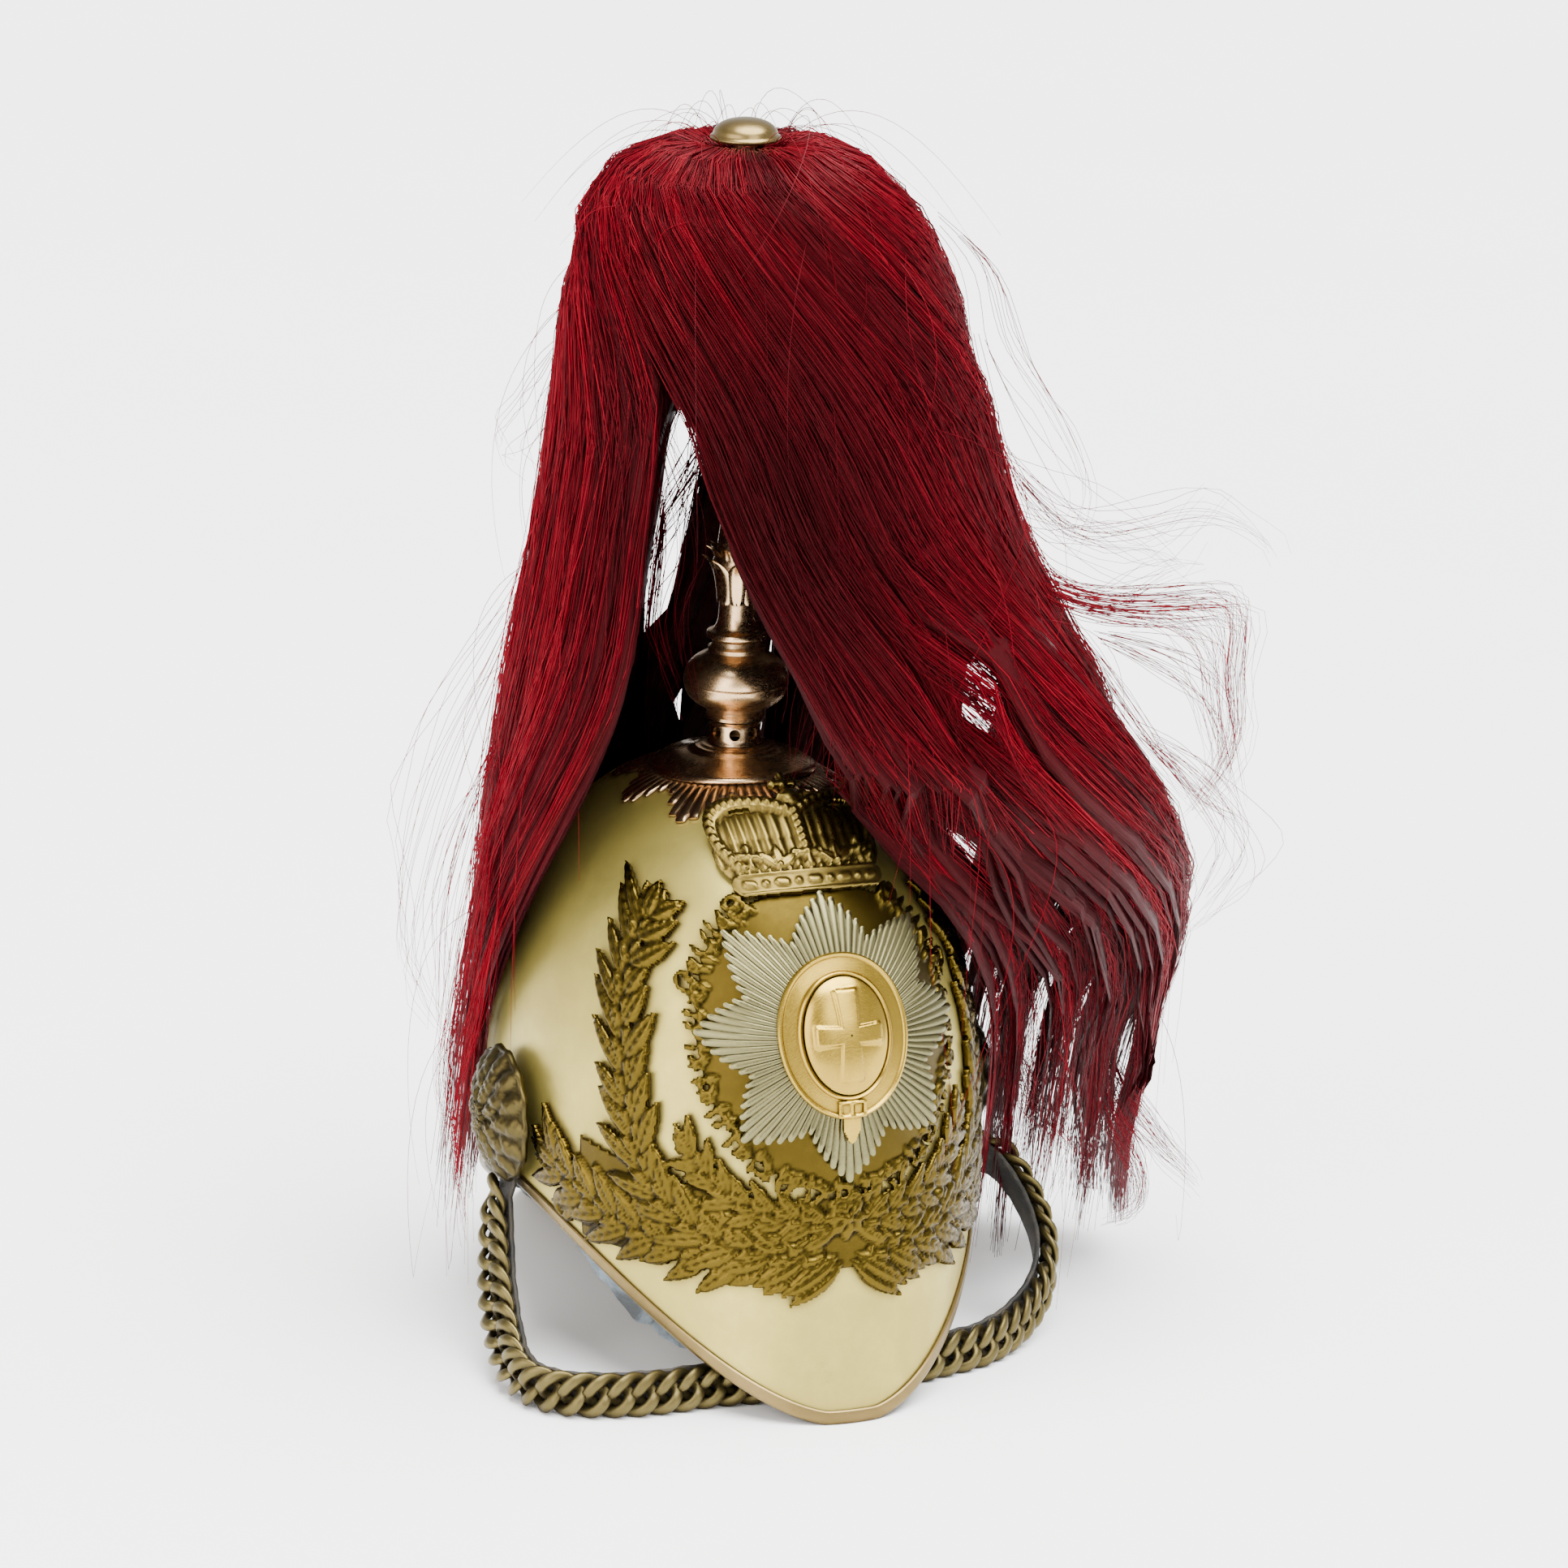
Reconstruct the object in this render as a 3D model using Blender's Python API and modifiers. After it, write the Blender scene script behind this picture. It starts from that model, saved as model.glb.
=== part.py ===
"""Plumed heavy-cavalry helmet: a white-metal skull with peak and neck guard, a raised gilt plate,
a spiked top with a falling horsehair plume, ear rosettes and a leather-backed chin chain.

Metres, +Z up. The wearer looks along -Y and the wearer's right is -X. Angles on the skull are
measured in plan from the front, positive towards +X. Everything is placed about the skull's
upright axis, and the last step stands that axis so that the whole helmet's box is centred on the
origin, resting on the peak's foot and the neck guard's foot with the chin chain laid in front.
"""

import math

import bmesh
import bpy
import numpy as np
from mathutils import Matrix, Vector

MM = 0.001

# Skull: horizontal sections are two half ellipses that share their width
SKULL_HEIGHT = 227 * MM
SKULL_HALF_WIDTH = 90.5 * MM
FRONT_DEPTH = 121 * MM
REAR_DEPTH = 127 * MM
BROW_HEIGHT = 90 * MM
PEAK_FLARE = 13 * MM
NECK_FLARE = 53 * MM
TIP_PINCH = 6.5 * MM
EAR_RIM_RISE = 66 * MM
PEAK_LIFT = 1.0 * MM
NECK_LIFT = 1.6 * MM
SHEET = 1.2 * MM
VENT_HOLE_RADIUS = 12 * MM

# Bluntness of the dome: height and width powers of its sections
DEPTH_POWERS = (2.4, 2.2)
WIDTH_POWERS = (2.0, 2.5)
PEAK_FLARE_POWER = 1.5
NECK_FLARE_POWER = 1.6

# Half angles of the level feet at the tips of peak and neck guard
PEAK_FOOT_ANGLE = math.radians(7)
NECK_FOOT_ANGLE = math.radians(12)

# Fits
FIT_GAP = 0.3 * MM
SEAT_GAP = 0.45 * MM
PLATE_GAP = 0.7 * MM
PLATE_SHEET = 1.0 * MM

# Binding folded round the edge of peak and neck guard
BINDING_SHEET = 1.0 * MM
BINDING_WIDTH = 4.2 * MM

# Spiked top, from the skull up
BASE_STAR_POINTS = 8
BASE_STAR_FRONT_REACH = 56 * MM
BASE_STAR_SIDE_REACH = 46 * MM
BASE_RADIUS = 31.5 * MM
BASE_RISE = 7.5 * MM
BASE_EDGE = 2.2 * MM
COLLAR_RADIUS = 10.5 * MM
COLLAR_WALL = 1.6 * MM
COLLAR_HEIGHT = 9 * MM
COLLAR_HOLES = 8
COLLAR_HOLE_RADIUS = 1.9 * MM
BALL_RADIUS = 20.5 * MM
BALL_HEIGHT = 32 * MM
SOCKET_RADIUS = 11.5 * MM
SOCKET_HEIGHT = 54 * MM
SOCKET_WALL = 0.8 * MM
STEM_RADIUS = 4.7 * MM
BOSS_RADIUS = 13.7 * MM
BOSS_HEIGHT = 8.5 * MM

# Front plate, in its own coordinates: across the skull and up its front, both along the surface
PLATE_CENTRE_UP = 150 * MM
PLATE_HALF_WIDTH = 101 * MM
PLATE_RIM_CLEARANCE = 3 * MM
PLATE_LEAF_RISE = 2.4 * MM
LEAF_LENGTH = 21 * MM
LEAF_WIDTH = 8.5 * MM
GARLAND_HALF_WIDTH = 58 * MM
GARLAND_HALF_HEIGHT = 64 * MM
STAR_REACH = 54 * MM
STAR_VALLEY = 40 * MM
STAR_POINTS = 8
STAR_RISE = 2.2 * MM
BELT_HALF_WIDTH = 24.5 * MM
BELT_HALF_HEIGHT = 30.5 * MM
BELT_WIDTH = 9 * MM
BELT_THICKNESS = 3 * MM
BELT_TAIL_LENGTH = 10 * MM
BELT_TAIL_HALF_WIDTH = 2.9 * MM
OVAL_RISE = 5.5 * MM
CROWN_STAR_GAP = 2 * MM
CROWN_HALF_WIDTH = 33 * MM
CROWN_HEIGHT = 51 * MM
CROWN_THICKNESS = 2.2 * MM
CROWN_LEAN_OFF = 9 * MM

# Ear rosettes, the strap tucked under them, and the lining band
ROSETTE_RADIUS = 26.5 * MM
ROSETTE_RISE = 12 * MM
ROSETTE_HEIGHT = 94 * MM
ROSETTE_FORWARD = 4 * MM
ROSETTE_POST_RADIUS = 4 * MM
ROSETTE_PETALS = 5
STRAP_THICKNESS = 2 * MM
STRAP_WIDTH = 15 * MM
STRAP_END_GAP = 1.5 * MM
CHAIN_WIDTH = 18 * MM
CHAIN_THICKNESS = 7 * MM
CHAIN_PITCH = 9.3 * MM
LINING_THICKNESS = 1.6 * MM
LINING_INSET = 5 * MM
LINING_LOW = 21 * MM
LINING_TOP_DROP = 2 * MM
LINING_SAG_POWER = 6

# Plume
PLUME_RADIUS = 100 * MM
PLUME_THICKNESS = 7 * MM
PLUME_SKULL_CLEARANCE = 3.5 * MM
PLUME_LOCKS = 9
PLUME_LOCK_RISE = 0.035
PLUME_NOTCH = 42 * MM
PLUME_LOW_OFF = 12 * MM

# The hair is parted towards this side, and its four quarter directions are counted from it
PART_ANGLE = math.radians(-22)

# Hair outline. Height is a share of PLUME_TOP and the four spreads are shares of PLUME_RADIUS.
# The last two columns open the parting towards the wearer's right and left, in degrees.
PLUME_SECTIONS = (
    # height, front, right, rear, left, open right, open left
    (0.986, 0.052, 0.052, 0.052, 0.052, 2, 2),
    (1.000, 0.26, 0.26, 0.28, 0.26, 2, 2),
    (0.979, 0.48, 0.50, 0.53, 0.50, 2, 2),
    (0.926, 0.62, 0.64, 0.68, 0.72, 3, 3),
    (0.811, 0.67, 0.70, 0.78, 0.92, 4, 4),
    (0.696, 0.70, 0.76, 0.87, 1.03, 8, 7),
    (0.597, 0.80, 0.85, 0.98, 1.27, 14, 16),
    (0.514, 0.88, 0.90, 1.12, 1.52, 24, 30),
    (0.367, 0.96, 0.99, 1.30, 1.80, 68, 66),
    (0.227, 1.02, 1.06, 1.42, 1.93, 88, 92),
    (0.090, 1.05, 1.13, 1.50, 1.97, 90, 104),
)
PLUME_JOINED_ROWS = 5

# Outline of the plate's backing: bearing from straight up, and reach in shares of PLATE_HALF_WIDTH
PLATE_OUTLINE = (
    # bearing in degrees, reach
    (0, 0.50),
    (30, 0.58),
    (46, 0.78),
    (62, 0.93),
    (82, 0.98),
    (100, 1.04),
    (112, 1.27),
    (124, 1.30),
    (136, 1.12),
    (150, 0.98),
    (165, 0.90),
    (180, 0.89),
)

# Crown outline: height in shares of CROWN_HEIGHT, half width in shares of CROWN_HALF_WIDTH
CROWN_SECTIONS = (
    # height, half width, rise in shares of the thickness
    (0.00, 0.80, 1.3),
    (0.14, 0.84, 1.5),
    (0.30, 0.98, 0.8),
    (0.50, 1.00, 1.2),
    (0.68, 0.74, 1.5),
    (0.80, 0.30, 1.0),
    (0.90, 0.16, 1.8),
    (1.00, 0.10, 1.0),
)

# Route of the chin chain's middle line about the skull's axis, chosen along the floor by eye.
# Metres, and the bearing in degrees that the chain's face looks towards.
CHAIN_ROUTE = (
    # x, y, z, face
    (-0.0996, -0.0040, 0.0590, -88),
    (-0.1020, -0.0110, 0.0450, -74),
    (-0.1060, -0.0240, 0.0310, -58),
    (-0.1095, -0.0410, 0.0190, -46),
    (-0.1120, -0.0600, 0.0115, -40),
    (-0.1100, -0.0790, 0.0092, -36),
    (-0.1000, -0.0930, 0.0092, -26),
    (-0.0820, -0.1005, 0.0092, -14),
    (-0.0640, -0.1025, 0.0092, -6),
    (-0.0460, -0.1018, 0.0092, -2),
    (-0.0260, -0.1035, 0.0092, 0),
    (0.0000, -0.1060, 0.0092, 0),
    (0.0280, -0.1040, 0.0092, 8),
    (0.0520, -0.0985, 0.0092, 18),
    (0.0740, -0.0910, 0.0092, 30),
    (0.0940, -0.0775, 0.0115, 44),
    (0.1100, -0.0620, 0.0185, 60),
    (0.1180, -0.0470, 0.0310, 72),
    (0.1170, -0.0320, 0.0460, 80),
    (0.1105, -0.0190, 0.0580, 85),
    (0.1005, -0.0105, 0.0620, 88),
)

# The crown stands over the star's upper point
CROWN_BASE_UP = PLATE_CENTRE_UP + STAR_REACH + CROWN_STAR_GAP

# Heights up the spiked top, each piece seated on the one below
PLUME_TOP = 471 * MM
BASE_TOP = SKULL_HEIGHT + BASE_RISE
COLLAR_FOOT = BASE_TOP + FIT_GAP
BALL_FOOT = COLLAR_FOOT + COLLAR_HEIGHT + FIT_GAP
SOCKET_FOOT = BALL_FOOT + BALL_HEIGHT + FIT_GAP
BOSS_FOOT = PLUME_TOP + FIT_GAP

# Layers out from the skull: plate, star, belt. Out from the skull's side: strap, rosette.
PLATE_FACE = PLATE_GAP + PLATE_SHEET
STAR_BACK = PLATE_FACE + FIT_GAP
BELT_BACK = STAR_BACK + PLATE_SHEET + STAR_RISE + FIT_GAP
STRAP_INNER = SKULL_HALF_WIDTH + SEAT_GAP + BINDING_SHEET + FIT_GAP
ROSETTE_BACK = STRAP_INNER + STRAP_THICKNESS + FIT_GAP

# Facet counts
SKULL_STATIONS = 36
SKULL_ROWS_LOW = 4
SKULL_ROWS_HIGH = 8
TURNED_SIDES = 16
STEM_SIDES = 12
PLATE_STATIONS = 48


# Numbers

def smooth_step(share):
    share = min(1.0, max(0.0, share))
    return share * share * (3 - 2 * share)


def along_table(rows, place, column):
    """A column of a table of sections, read smoothly between rows by the first column."""
    places = [row[0] for row in rows]
    values = [row[column] for row in rows]
    if places[0] > places[-1]:
        places, values = places[::-1], values[::-1]
    for low in range(len(places) - 1):
        if place <= places[low + 1]:
            share = (place - places[low]) / (places[low + 1] - places[low])
            return values[low] + (values[low + 1] - values[low]) * smooth_step(share)
    return values[-1]


# Skull surface

def dome_share(rise, powers):
    """Radius of the dome at a rise from brow (0) to top (1), as a share of its brow radius."""
    return max(0.0, 1 - min(1.0, rise) ** powers[0]) ** (1 / powers[1])


def half_axes(height):
    """Front depth, rear depth and half width of the skull's section at a height."""
    if height >= BROW_HEIGHT:
        rise = (height - BROW_HEIGHT) / (SKULL_HEIGHT - BROW_HEIGHT)
        depth = dome_share(rise, DEPTH_POWERS)
        return FRONT_DEPTH * depth, REAR_DEPTH * depth, SKULL_HALF_WIDTH * dome_share(rise, WIDTH_POWERS)
    fall = (BROW_HEIGHT - height) / BROW_HEIGHT
    return (
        FRONT_DEPTH + PEAK_FLARE * fall**PEAK_FLARE_POWER,
        REAR_DEPTH + NECK_FLARE * fall**NECK_FLARE_POWER,
        SKULL_HALF_WIDTH - TIP_PINCH * fall**2,
    )


def skull_point(angle, height, axes_height=None):
    front, rear, side = half_axes(height if axes_height is None else axes_height)
    depth = front if math.cos(angle) >= 0 else rear
    return Vector((side * math.sin(angle), -depth * math.cos(angle), height))


def skull_normal(angle, height):
    step = 0.5 * MM
    turn = 0.004
    around = skull_point(angle + turn, height) - skull_point(angle - turn, height)
    upward = skull_point(angle, height + step) - skull_point(angle, height - step)
    return around.cross(upward).normalized()


def rim_height(angle):
    """The edge dips from the ears to a level foot at the tip of the peak and of the neck guard."""
    if math.cos(angle) >= 0:
        foot, lift = PEAK_FOOT_ANGLE, PEAK_LIFT
    else:
        foot, lift = NECK_FOOT_ANGLE, NECK_LIFT
    level = math.sin(foot) ** 2
    rise = max(0.0, math.sin(angle) ** 2 - level) / (1 - level)
    return lift + (EAR_RIM_RISE - lift) * rise


def height_over(x, y):
    """Height of the dome above a point in plan."""
    low, high = BROW_HEIGHT, SKULL_HEIGHT
    for _ in range(50):
        middle = (low + high) / 2
        front, rear, side = half_axes(middle)
        depth = front if y <= 0 else rear
        if (x / max(side, 1e-6)) ** 2 + (y / max(depth, 1e-6)) ** 2 <= 1:
            low = middle
        else:
            high = middle
    return low


def plan_radius(angle, height):
    """Distance from the axis to the skull in a direction, at a height, or nothing above it."""
    if height >= SKULL_HEIGHT:
        return 0.0
    front, rear, side = half_axes(height)
    depth = front if math.cos(angle) >= 0 else rear
    return 1 / math.hypot(math.sin(angle) / max(side, 1e-6), math.cos(angle) / max(depth, 1e-6))


def front_profile():
    """Heights up the front of the skull against the distance along its surface."""
    steps = 160
    top = SKULL_HEIGHT - 0.5 * MM
    heights = [top * math.sin(math.pi / 2 * step / steps) for step in range(steps + 1)]
    lengths = [0.0]
    for low, high in zip(heights, heights[1:]):
        lengths.append(lengths[-1] + (skull_point(0, high) - skull_point(0, low)).length)
    return lengths, heights


FRONT_LENGTHS, FRONT_HEIGHTS = front_profile()


def plate_place(across, up):
    """Skull angle and height of a point given in the front plate's coordinates."""
    height = float(np.interp(up, FRONT_LENGTHS, FRONT_HEIGHTS))
    front, _, side = half_axes(height)
    steps = 24
    angle = 0.0
    share = across / steps
    for _ in range(steps):
        rate = math.hypot(side * math.cos(angle), front * math.sin(angle))
        angle += share / max(rate, 1e-6)
    return angle, height


def plate_point(across, up, proud):
    """A point that stands proud of the skull, in the front plate's coordinates."""
    angle, height = plate_place(across, up)
    return skull_point(angle, height) + skull_normal(angle, height) * proud


def ring(radius, height, sides):
    """Points of a level circle about the axis."""
    turns = [2 * math.pi * place / sides for place in range(sides)]
    return [Vector((radius * math.sin(turn), -radius * math.cos(turn), height)) for turn in turns]


# Scene and materials

def clear_scene():
    for item in list(bpy.data.objects):
        bpy.data.objects.remove(item)


def make_material(name, colour, metallic, roughness):
    material = bpy.data.materials.new(name)
    material.use_nodes = True
    shader = material.node_tree.nodes["Principled BSDF"]
    shader.inputs["Base Color"].default_value = (*colour, 1)
    shader.inputs["Metallic"].default_value = metallic
    shader.inputs["Roughness"].default_value = roughness
    return material


def make_collection(name):
    collection = bpy.data.collections.new(name)
    bpy.context.scene.collection.children.link(collection)
    return collection


def link_mesh(name, builder, material, smooth=True):
    """An object from a bmesh, in the helmet's collection and on its axis."""
    mesh = bpy.data.meshes.new(name)
    bmesh.ops.remove_doubles(builder, verts=builder.verts, dist=1e-6)
    bmesh.ops.recalc_face_normals(builder, faces=builder.faces)
    bmesh.ops.triangulate(builder, faces=builder.faces, quad_method="SHORT_EDGE")
    builder.to_mesh(mesh)
    builder.free()
    mesh.materials.append(material)
    if smooth:
        mesh.shade_smooth()
        mesh.set_sharp_from_angle(angle=math.radians(40))
    item = bpy.data.objects.new(name, mesh)
    HELMET.objects.link(item)
    item.parent = AXIS
    return item


def link_cutter(name, builder):
    item = link_mesh(name, builder, CUTTER_FINISH, smooth=False)
    HELMET.objects.unlink(item)
    CUTTERS.objects.link(item)
    item.hide_render = True
    item.display_type = "WIRE"
    return item


def add_boolean(item, other, operation):
    modifier = item.modifiers.new(operation.title(), "BOOLEAN")
    modifier.operation = operation
    modifier.object = other
    modifier.use_self = True


# Shape builders

def add_grid(builder, rows, wrap=False, wrap_rows=None):
    """Quads between rows of points. It returns the new vertices, row by row."""
    verts = [[builder.verts.new(point) for point in row] for row in rows]
    for low in range(len(rows) - 1):
        count = len(rows[low])
        closed = wrap if wrap_rows is None else low < wrap_rows
        for place in range(count if closed else count - 1):
            after = (place + 1) % count
            builder.faces.new(
                (verts[low][place], verts[low][after], verts[low + 1][after], verts[low + 1][place])
            )
    return verts


def add_shell(builder, outer, inner, wrap=False, wrap_rows=None):
    """A closed body between two grids of the same size."""
    first = add_grid(builder, outer, wrap, wrap_rows)
    second = add_grid(builder, inner, wrap, wrap_rows)
    for one, other in zip(boundary_edges(first, wrap, wrap_rows), boundary_edges(second, wrap, wrap_rows)):
        builder.faces.new((one[0], one[1], other[1], other[0]))


def boundary_edges(verts, wrap, wrap_rows):
    """Pairs of neighbouring vertices round the open edges of a grid."""
    last = len(verts) - 1
    count = len(verts[0])
    edges = []
    for row in (0, last):
        closed = wrap if wrap_rows is None else (row == 0 and wrap_rows > 0)
        for place in range(count if closed else count - 1):
            edges.append((verts[row][place], verts[row][(place + 1) % count]))
    for low in range(last):
        if wrap if wrap_rows is None else low < wrap_rows:
            continue
        edges.append((verts[low][0], verts[low + 1][0]))
        edges.append((verts[low][-1], verts[low + 1][-1]))
    if wrap_rows:
        edges.append((verts[wrap_rows][-1], verts[wrap_rows][0]))
    return edges


def turned(name, profile, material, sides=TURNED_SIDES):
    """A turned piece on the axis, from a profile of radius and height that is given foot first."""
    mesh = bpy.data.meshes.new(name)
    points = [(radius, 0, height) for radius, height in reversed(profile)]
    edges = [(place, (place + 1) % len(points)) for place in range(len(points))]
    mesh.from_pydata(points, edges, [])
    mesh.materials.append(material)
    item = bpy.data.objects.new(name, mesh)
    HELMET.objects.link(item)
    item.parent = AXIS
    screw = item.modifiers.new("Screw", "SCREW")
    screw.steps = sides
    screw.render_steps = sides
    screw.use_merge_vertices = True
    screw.merge_threshold = 0.00001
    screw.use_normal_calculate = True
    screw.use_smooth_shade = True
    return item


# Skull and binding

def skull_angles():
    return [2 * math.pi * station / SKULL_STATIONS for station in range(SKULL_STATIONS)]


def skull_heights(angle):
    """Row heights up one station, from the rim to the vent hole."""
    rim = rim_height(angle)
    low = [rim + (BROW_HEIGHT - rim) * row / SKULL_ROWS_LOW for row in range(SKULL_ROWS_LOW)]
    last = (1 - (VENT_HOLE_RADIUS / SKULL_HALF_WIDTH) ** WIDTH_POWERS[1]) ** (1 / WIDTH_POWERS[0])
    rises = [math.sin(math.asin(last) * row / SKULL_ROWS_HIGH) for row in range(SKULL_ROWS_HIGH + 1)]
    return low + [BROW_HEIGHT + (SKULL_HEIGHT - BROW_HEIGHT) * rise for rise in rises]


def make_skull():
    columns = [[skull_point(angle, height) for height in skull_heights(angle)] for angle in skull_angles()]
    builder = bmesh.new()
    add_grid(builder, [list(row) for row in zip(*columns)], wrap=True)
    item = link_mesh("skull", builder, SKULL_METAL)
    wall = item.modifiers.new("Wall", "SOLIDIFY")
    wall.thickness = SHEET
    wall.offset = -1
    wall.use_even_offset = True


def binding_section(angle):
    """The folded strip's section at a station: a U round the skull's edge, then cut by the floor."""
    place = skull_point(angle, rim_height(angle))
    step = 0.01
    ahead, behind = angle + step, angle - step
    along = skull_point(ahead, rim_height(ahead)) - skull_point(behind, rim_height(behind))
    normal = skull_normal(angle, rim_height(angle))
    down = normal.cross(along).normalized()
    if down.z > 0:
        down = -down
    outer = SEAT_GAP
    inner = -SHEET - SEAT_GAP
    fold = FIT_GAP
    corners = (
        (outer + BINDING_SHEET, -BINDING_WIDTH),
        (outer + BINDING_SHEET, fold + BINDING_SHEET),
        (inner - BINDING_SHEET, fold + BINDING_SHEET),
        (inner - BINDING_SHEET, -BINDING_WIDTH),
        (inner, -BINDING_WIDTH),
        (inner, fold),
        (outer, fold),
        (outer, -BINDING_WIDTH),
    )
    return [place + normal * out + down * drop for out, drop in corners]


def make_binding():
    sections = [binding_section(angle) for angle in skull_angles()]
    builder = bmesh.new()
    add_grid(builder, [section + [section[0]] for section in sections + [sections[0]]])
    item = link_mesh("rim_binding", builder, BRASS)
    floor = bmesh.new()
    size = 4 * (REAR_DEPTH + NECK_FLARE)
    block = Matrix.Translation((0, 0, -size / 2)) @ Matrix.Diagonal((size, size, size, 1))
    bmesh.ops.create_cube(floor, size=1, matrix=block)
    add_boolean(item, link_cutter("foot_cutter", floor), "DIFFERENCE")


# Spiked top

def base_star_reach(angle, share):
    """Plan reach of the rayed star under the spike: long points with short ones between."""
    along = math.hypot(BASE_STAR_SIDE_REACH * math.sin(angle), BASE_STAR_FRONT_REACH * math.cos(angle))
    swing = (1 + math.cos(BASE_STAR_POINTS * angle)) / 2
    valley = BASE_RADIUS + (along - BASE_RADIUS) * 0.25
    outer = valley + (along - valley) * swing
    return VENT_HOLE_RADIUS + (outer - VENT_HOLE_RADIUS) * share


def make_base_star():
    stations = 4 * BASE_STAR_POINTS
    grids = []
    for proud in (PLATE_FACE, PLATE_GAP):
        rows = []
        for share in (0.15, 0.45, 0.72, 1.0):
            row = []
            for station in range(stations):
                angle = 2 * math.pi * station / stations
                reach = base_star_reach(angle, share)
                x, y = reach * math.sin(angle), -reach * math.cos(angle)
                row.append(Vector((x, y, height_over(x, y) + proud)))
            rows.append(row)
        grids.append(rows)
    builder = bmesh.new()
    add_shell(builder, grids[0], grids[1], wrap=True)
    link_mesh("base_star", builder, BRASS)


def base_foot(angle, radius, proud):
    x, y = radius * math.sin(angle), -radius * math.cos(angle)
    return Vector((x, y, height_over(x, y) + proud))


def make_base_dome():
    """A flared foot whose lower edge follows the skull over the star."""
    turns = [2 * math.pi * place / TURNED_SIDES for place in range(TURNED_SIDES)]
    grids = []
    for inset in (0.0, SHEET):
        rows = []
        for proud in (STAR_BACK, STAR_BACK + BASE_EDGE - inset / 3):
            rows.append([base_foot(turn, BASE_RADIUS - inset, proud) for turn in turns])
        for radius, rise in ((0.72, 0.45), (0.45, 0.82), (0.30, 1.0)):
            height = SKULL_HEIGHT + BASE_RISE * rise - inset
            rows.append(ring(BASE_RADIUS * radius, height, TURNED_SIDES))
        grids.append(rows)
    builder = bmesh.new()
    add_shell(builder, grids[0], grids[1], wrap=True)
    link_mesh("base_dome", builder, BRASS)


def make_collar():
    """A short tube with a row of round vent holes."""
    inner = COLLAR_RADIUS - COLLAR_WALL
    top = COLLAR_FOOT + COLLAR_HEIGHT
    profile = [
        (inner, COLLAR_FOOT),
        (COLLAR_RADIUS, COLLAR_FOOT),
        (COLLAR_RADIUS, top),
        (inner, top),
    ]
    item = turned("vent_collar", profile, BRASS)
    drill = bmesh.new()
    for hole in range(COLLAR_HOLES // 2):
        turn = Matrix.Rotation(2 * math.pi * (hole + 0.5) / COLLAR_HOLES, 4, "Z")
        lay = Matrix.Rotation(math.pi / 2, 4, "X")
        lift = Matrix.Translation((0, 0, COLLAR_FOOT + COLLAR_HEIGHT / 2))
        bmesh.ops.create_cone(
            drill,
            cap_ends=True,
            segments=6,
            radius1=COLLAR_HOLE_RADIUS,
            radius2=COLLAR_HOLE_RADIUS,
            depth=4 * COLLAR_RADIUS,
            matrix=lift @ turn @ lay,
        )
    add_boolean(item, link_cutter("vent_drill", drill), "DIFFERENCE")


def make_ball():
    """An onion with a seam line at its widest, hollow for the stem's bolt."""
    bore = COLLAR_RADIUS * 0.45
    shares = (
        # radius and height in shares of the ball's own
        (0.52, 0.00),
        (0.58, 0.07),
        (0.90, 0.28),
        (1.00, 0.50),
        (0.90, 0.72),
        (0.56, 0.93),
        (0.48, 1.00),
    )
    profile = [(bore, BALL_FOOT)]
    profile += [(BALL_RADIUS * radius, BALL_FOOT + BALL_HEIGHT * height) for radius, height in shares]
    profile.append((bore, BALL_FOOT + BALL_HEIGHT))
    turned("ball", profile, BRASS)


def make_socket():
    """The leaf socket: a flange, a waist, a ring of leaves that open, and a cone round the stem."""
    bore = STEM_RADIUS + FIT_GAP
    stations = TURNED_SIDES
    shares = (
        # radius, height, depth of the leaf lobes
        (1.00, 0.00, 0.0),
        (1.00, 0.06, 0.0),
        (0.72, 0.10, 0.0),
        (0.62, 0.26, 0.04),
        (0.88, 0.44, 0.12),
        (1.14, 0.57, 0.22),
        (0.84, 0.58, 0.10),
        (0.66, 0.80, 0.0),
        (0.50, 1.00, 0.0),
    )
    rows = []
    for radius, height, lobe in shares:
        row = []
        for station in range(stations):
            angle = 2 * math.pi * station / stations
            swell = 1 + lobe * math.cos(stations / 2 * angle)
            reach = max(SOCKET_RADIUS * radius * swell, bore + SOCKET_WALL)
            level = SOCKET_FOOT + SOCKET_HEIGHT * height
            row.append(Vector((reach * math.sin(angle), -reach * math.cos(angle), level)))
        rows.append(row)
    inner = [ring(bore, height, stations) for height in (SOCKET_FOOT + SOCKET_HEIGHT, SOCKET_FOOT)]
    builder = bmesh.new()
    add_grid(builder, rows + inner + [rows[0]], wrap=True)
    link_mesh("leaf_socket", builder, BRASS)


def make_stem():
    """The plain rod that carries the plume, from the ball's neck up to the boss."""
    height = PLUME_TOP - SOCKET_FOOT
    builder = bmesh.new()
    bmesh.ops.create_cone(
        builder,
        cap_ends=True,
        segments=STEM_SIDES,
        radius1=STEM_RADIUS,
        radius2=STEM_RADIUS,
        depth=height,
        matrix=Matrix.Translation((0, 0, SOCKET_FOOT + height / 2)),
    )
    link_mesh("plume_stem", builder, BRASS)


def make_boss():
    shares = ((1.0, 0.0), (1.0, 0.18), (0.9, 0.3), (0.78, 0.62), (0.45, 0.92), (0.0, 1.0))
    profile = [(0.0, BOSS_FOOT)]
    profile += [(BOSS_RADIUS * radius, BOSS_FOOT + BOSS_HEIGHT * height) for radius, height in shares]
    turned("plume_boss", profile, BRASS)


# Front plate

def outline_reach(bearing):
    return PLATE_HALF_WIDTH * along_table(PLATE_OUTLINE, abs(math.degrees(bearing)), 1)


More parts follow.
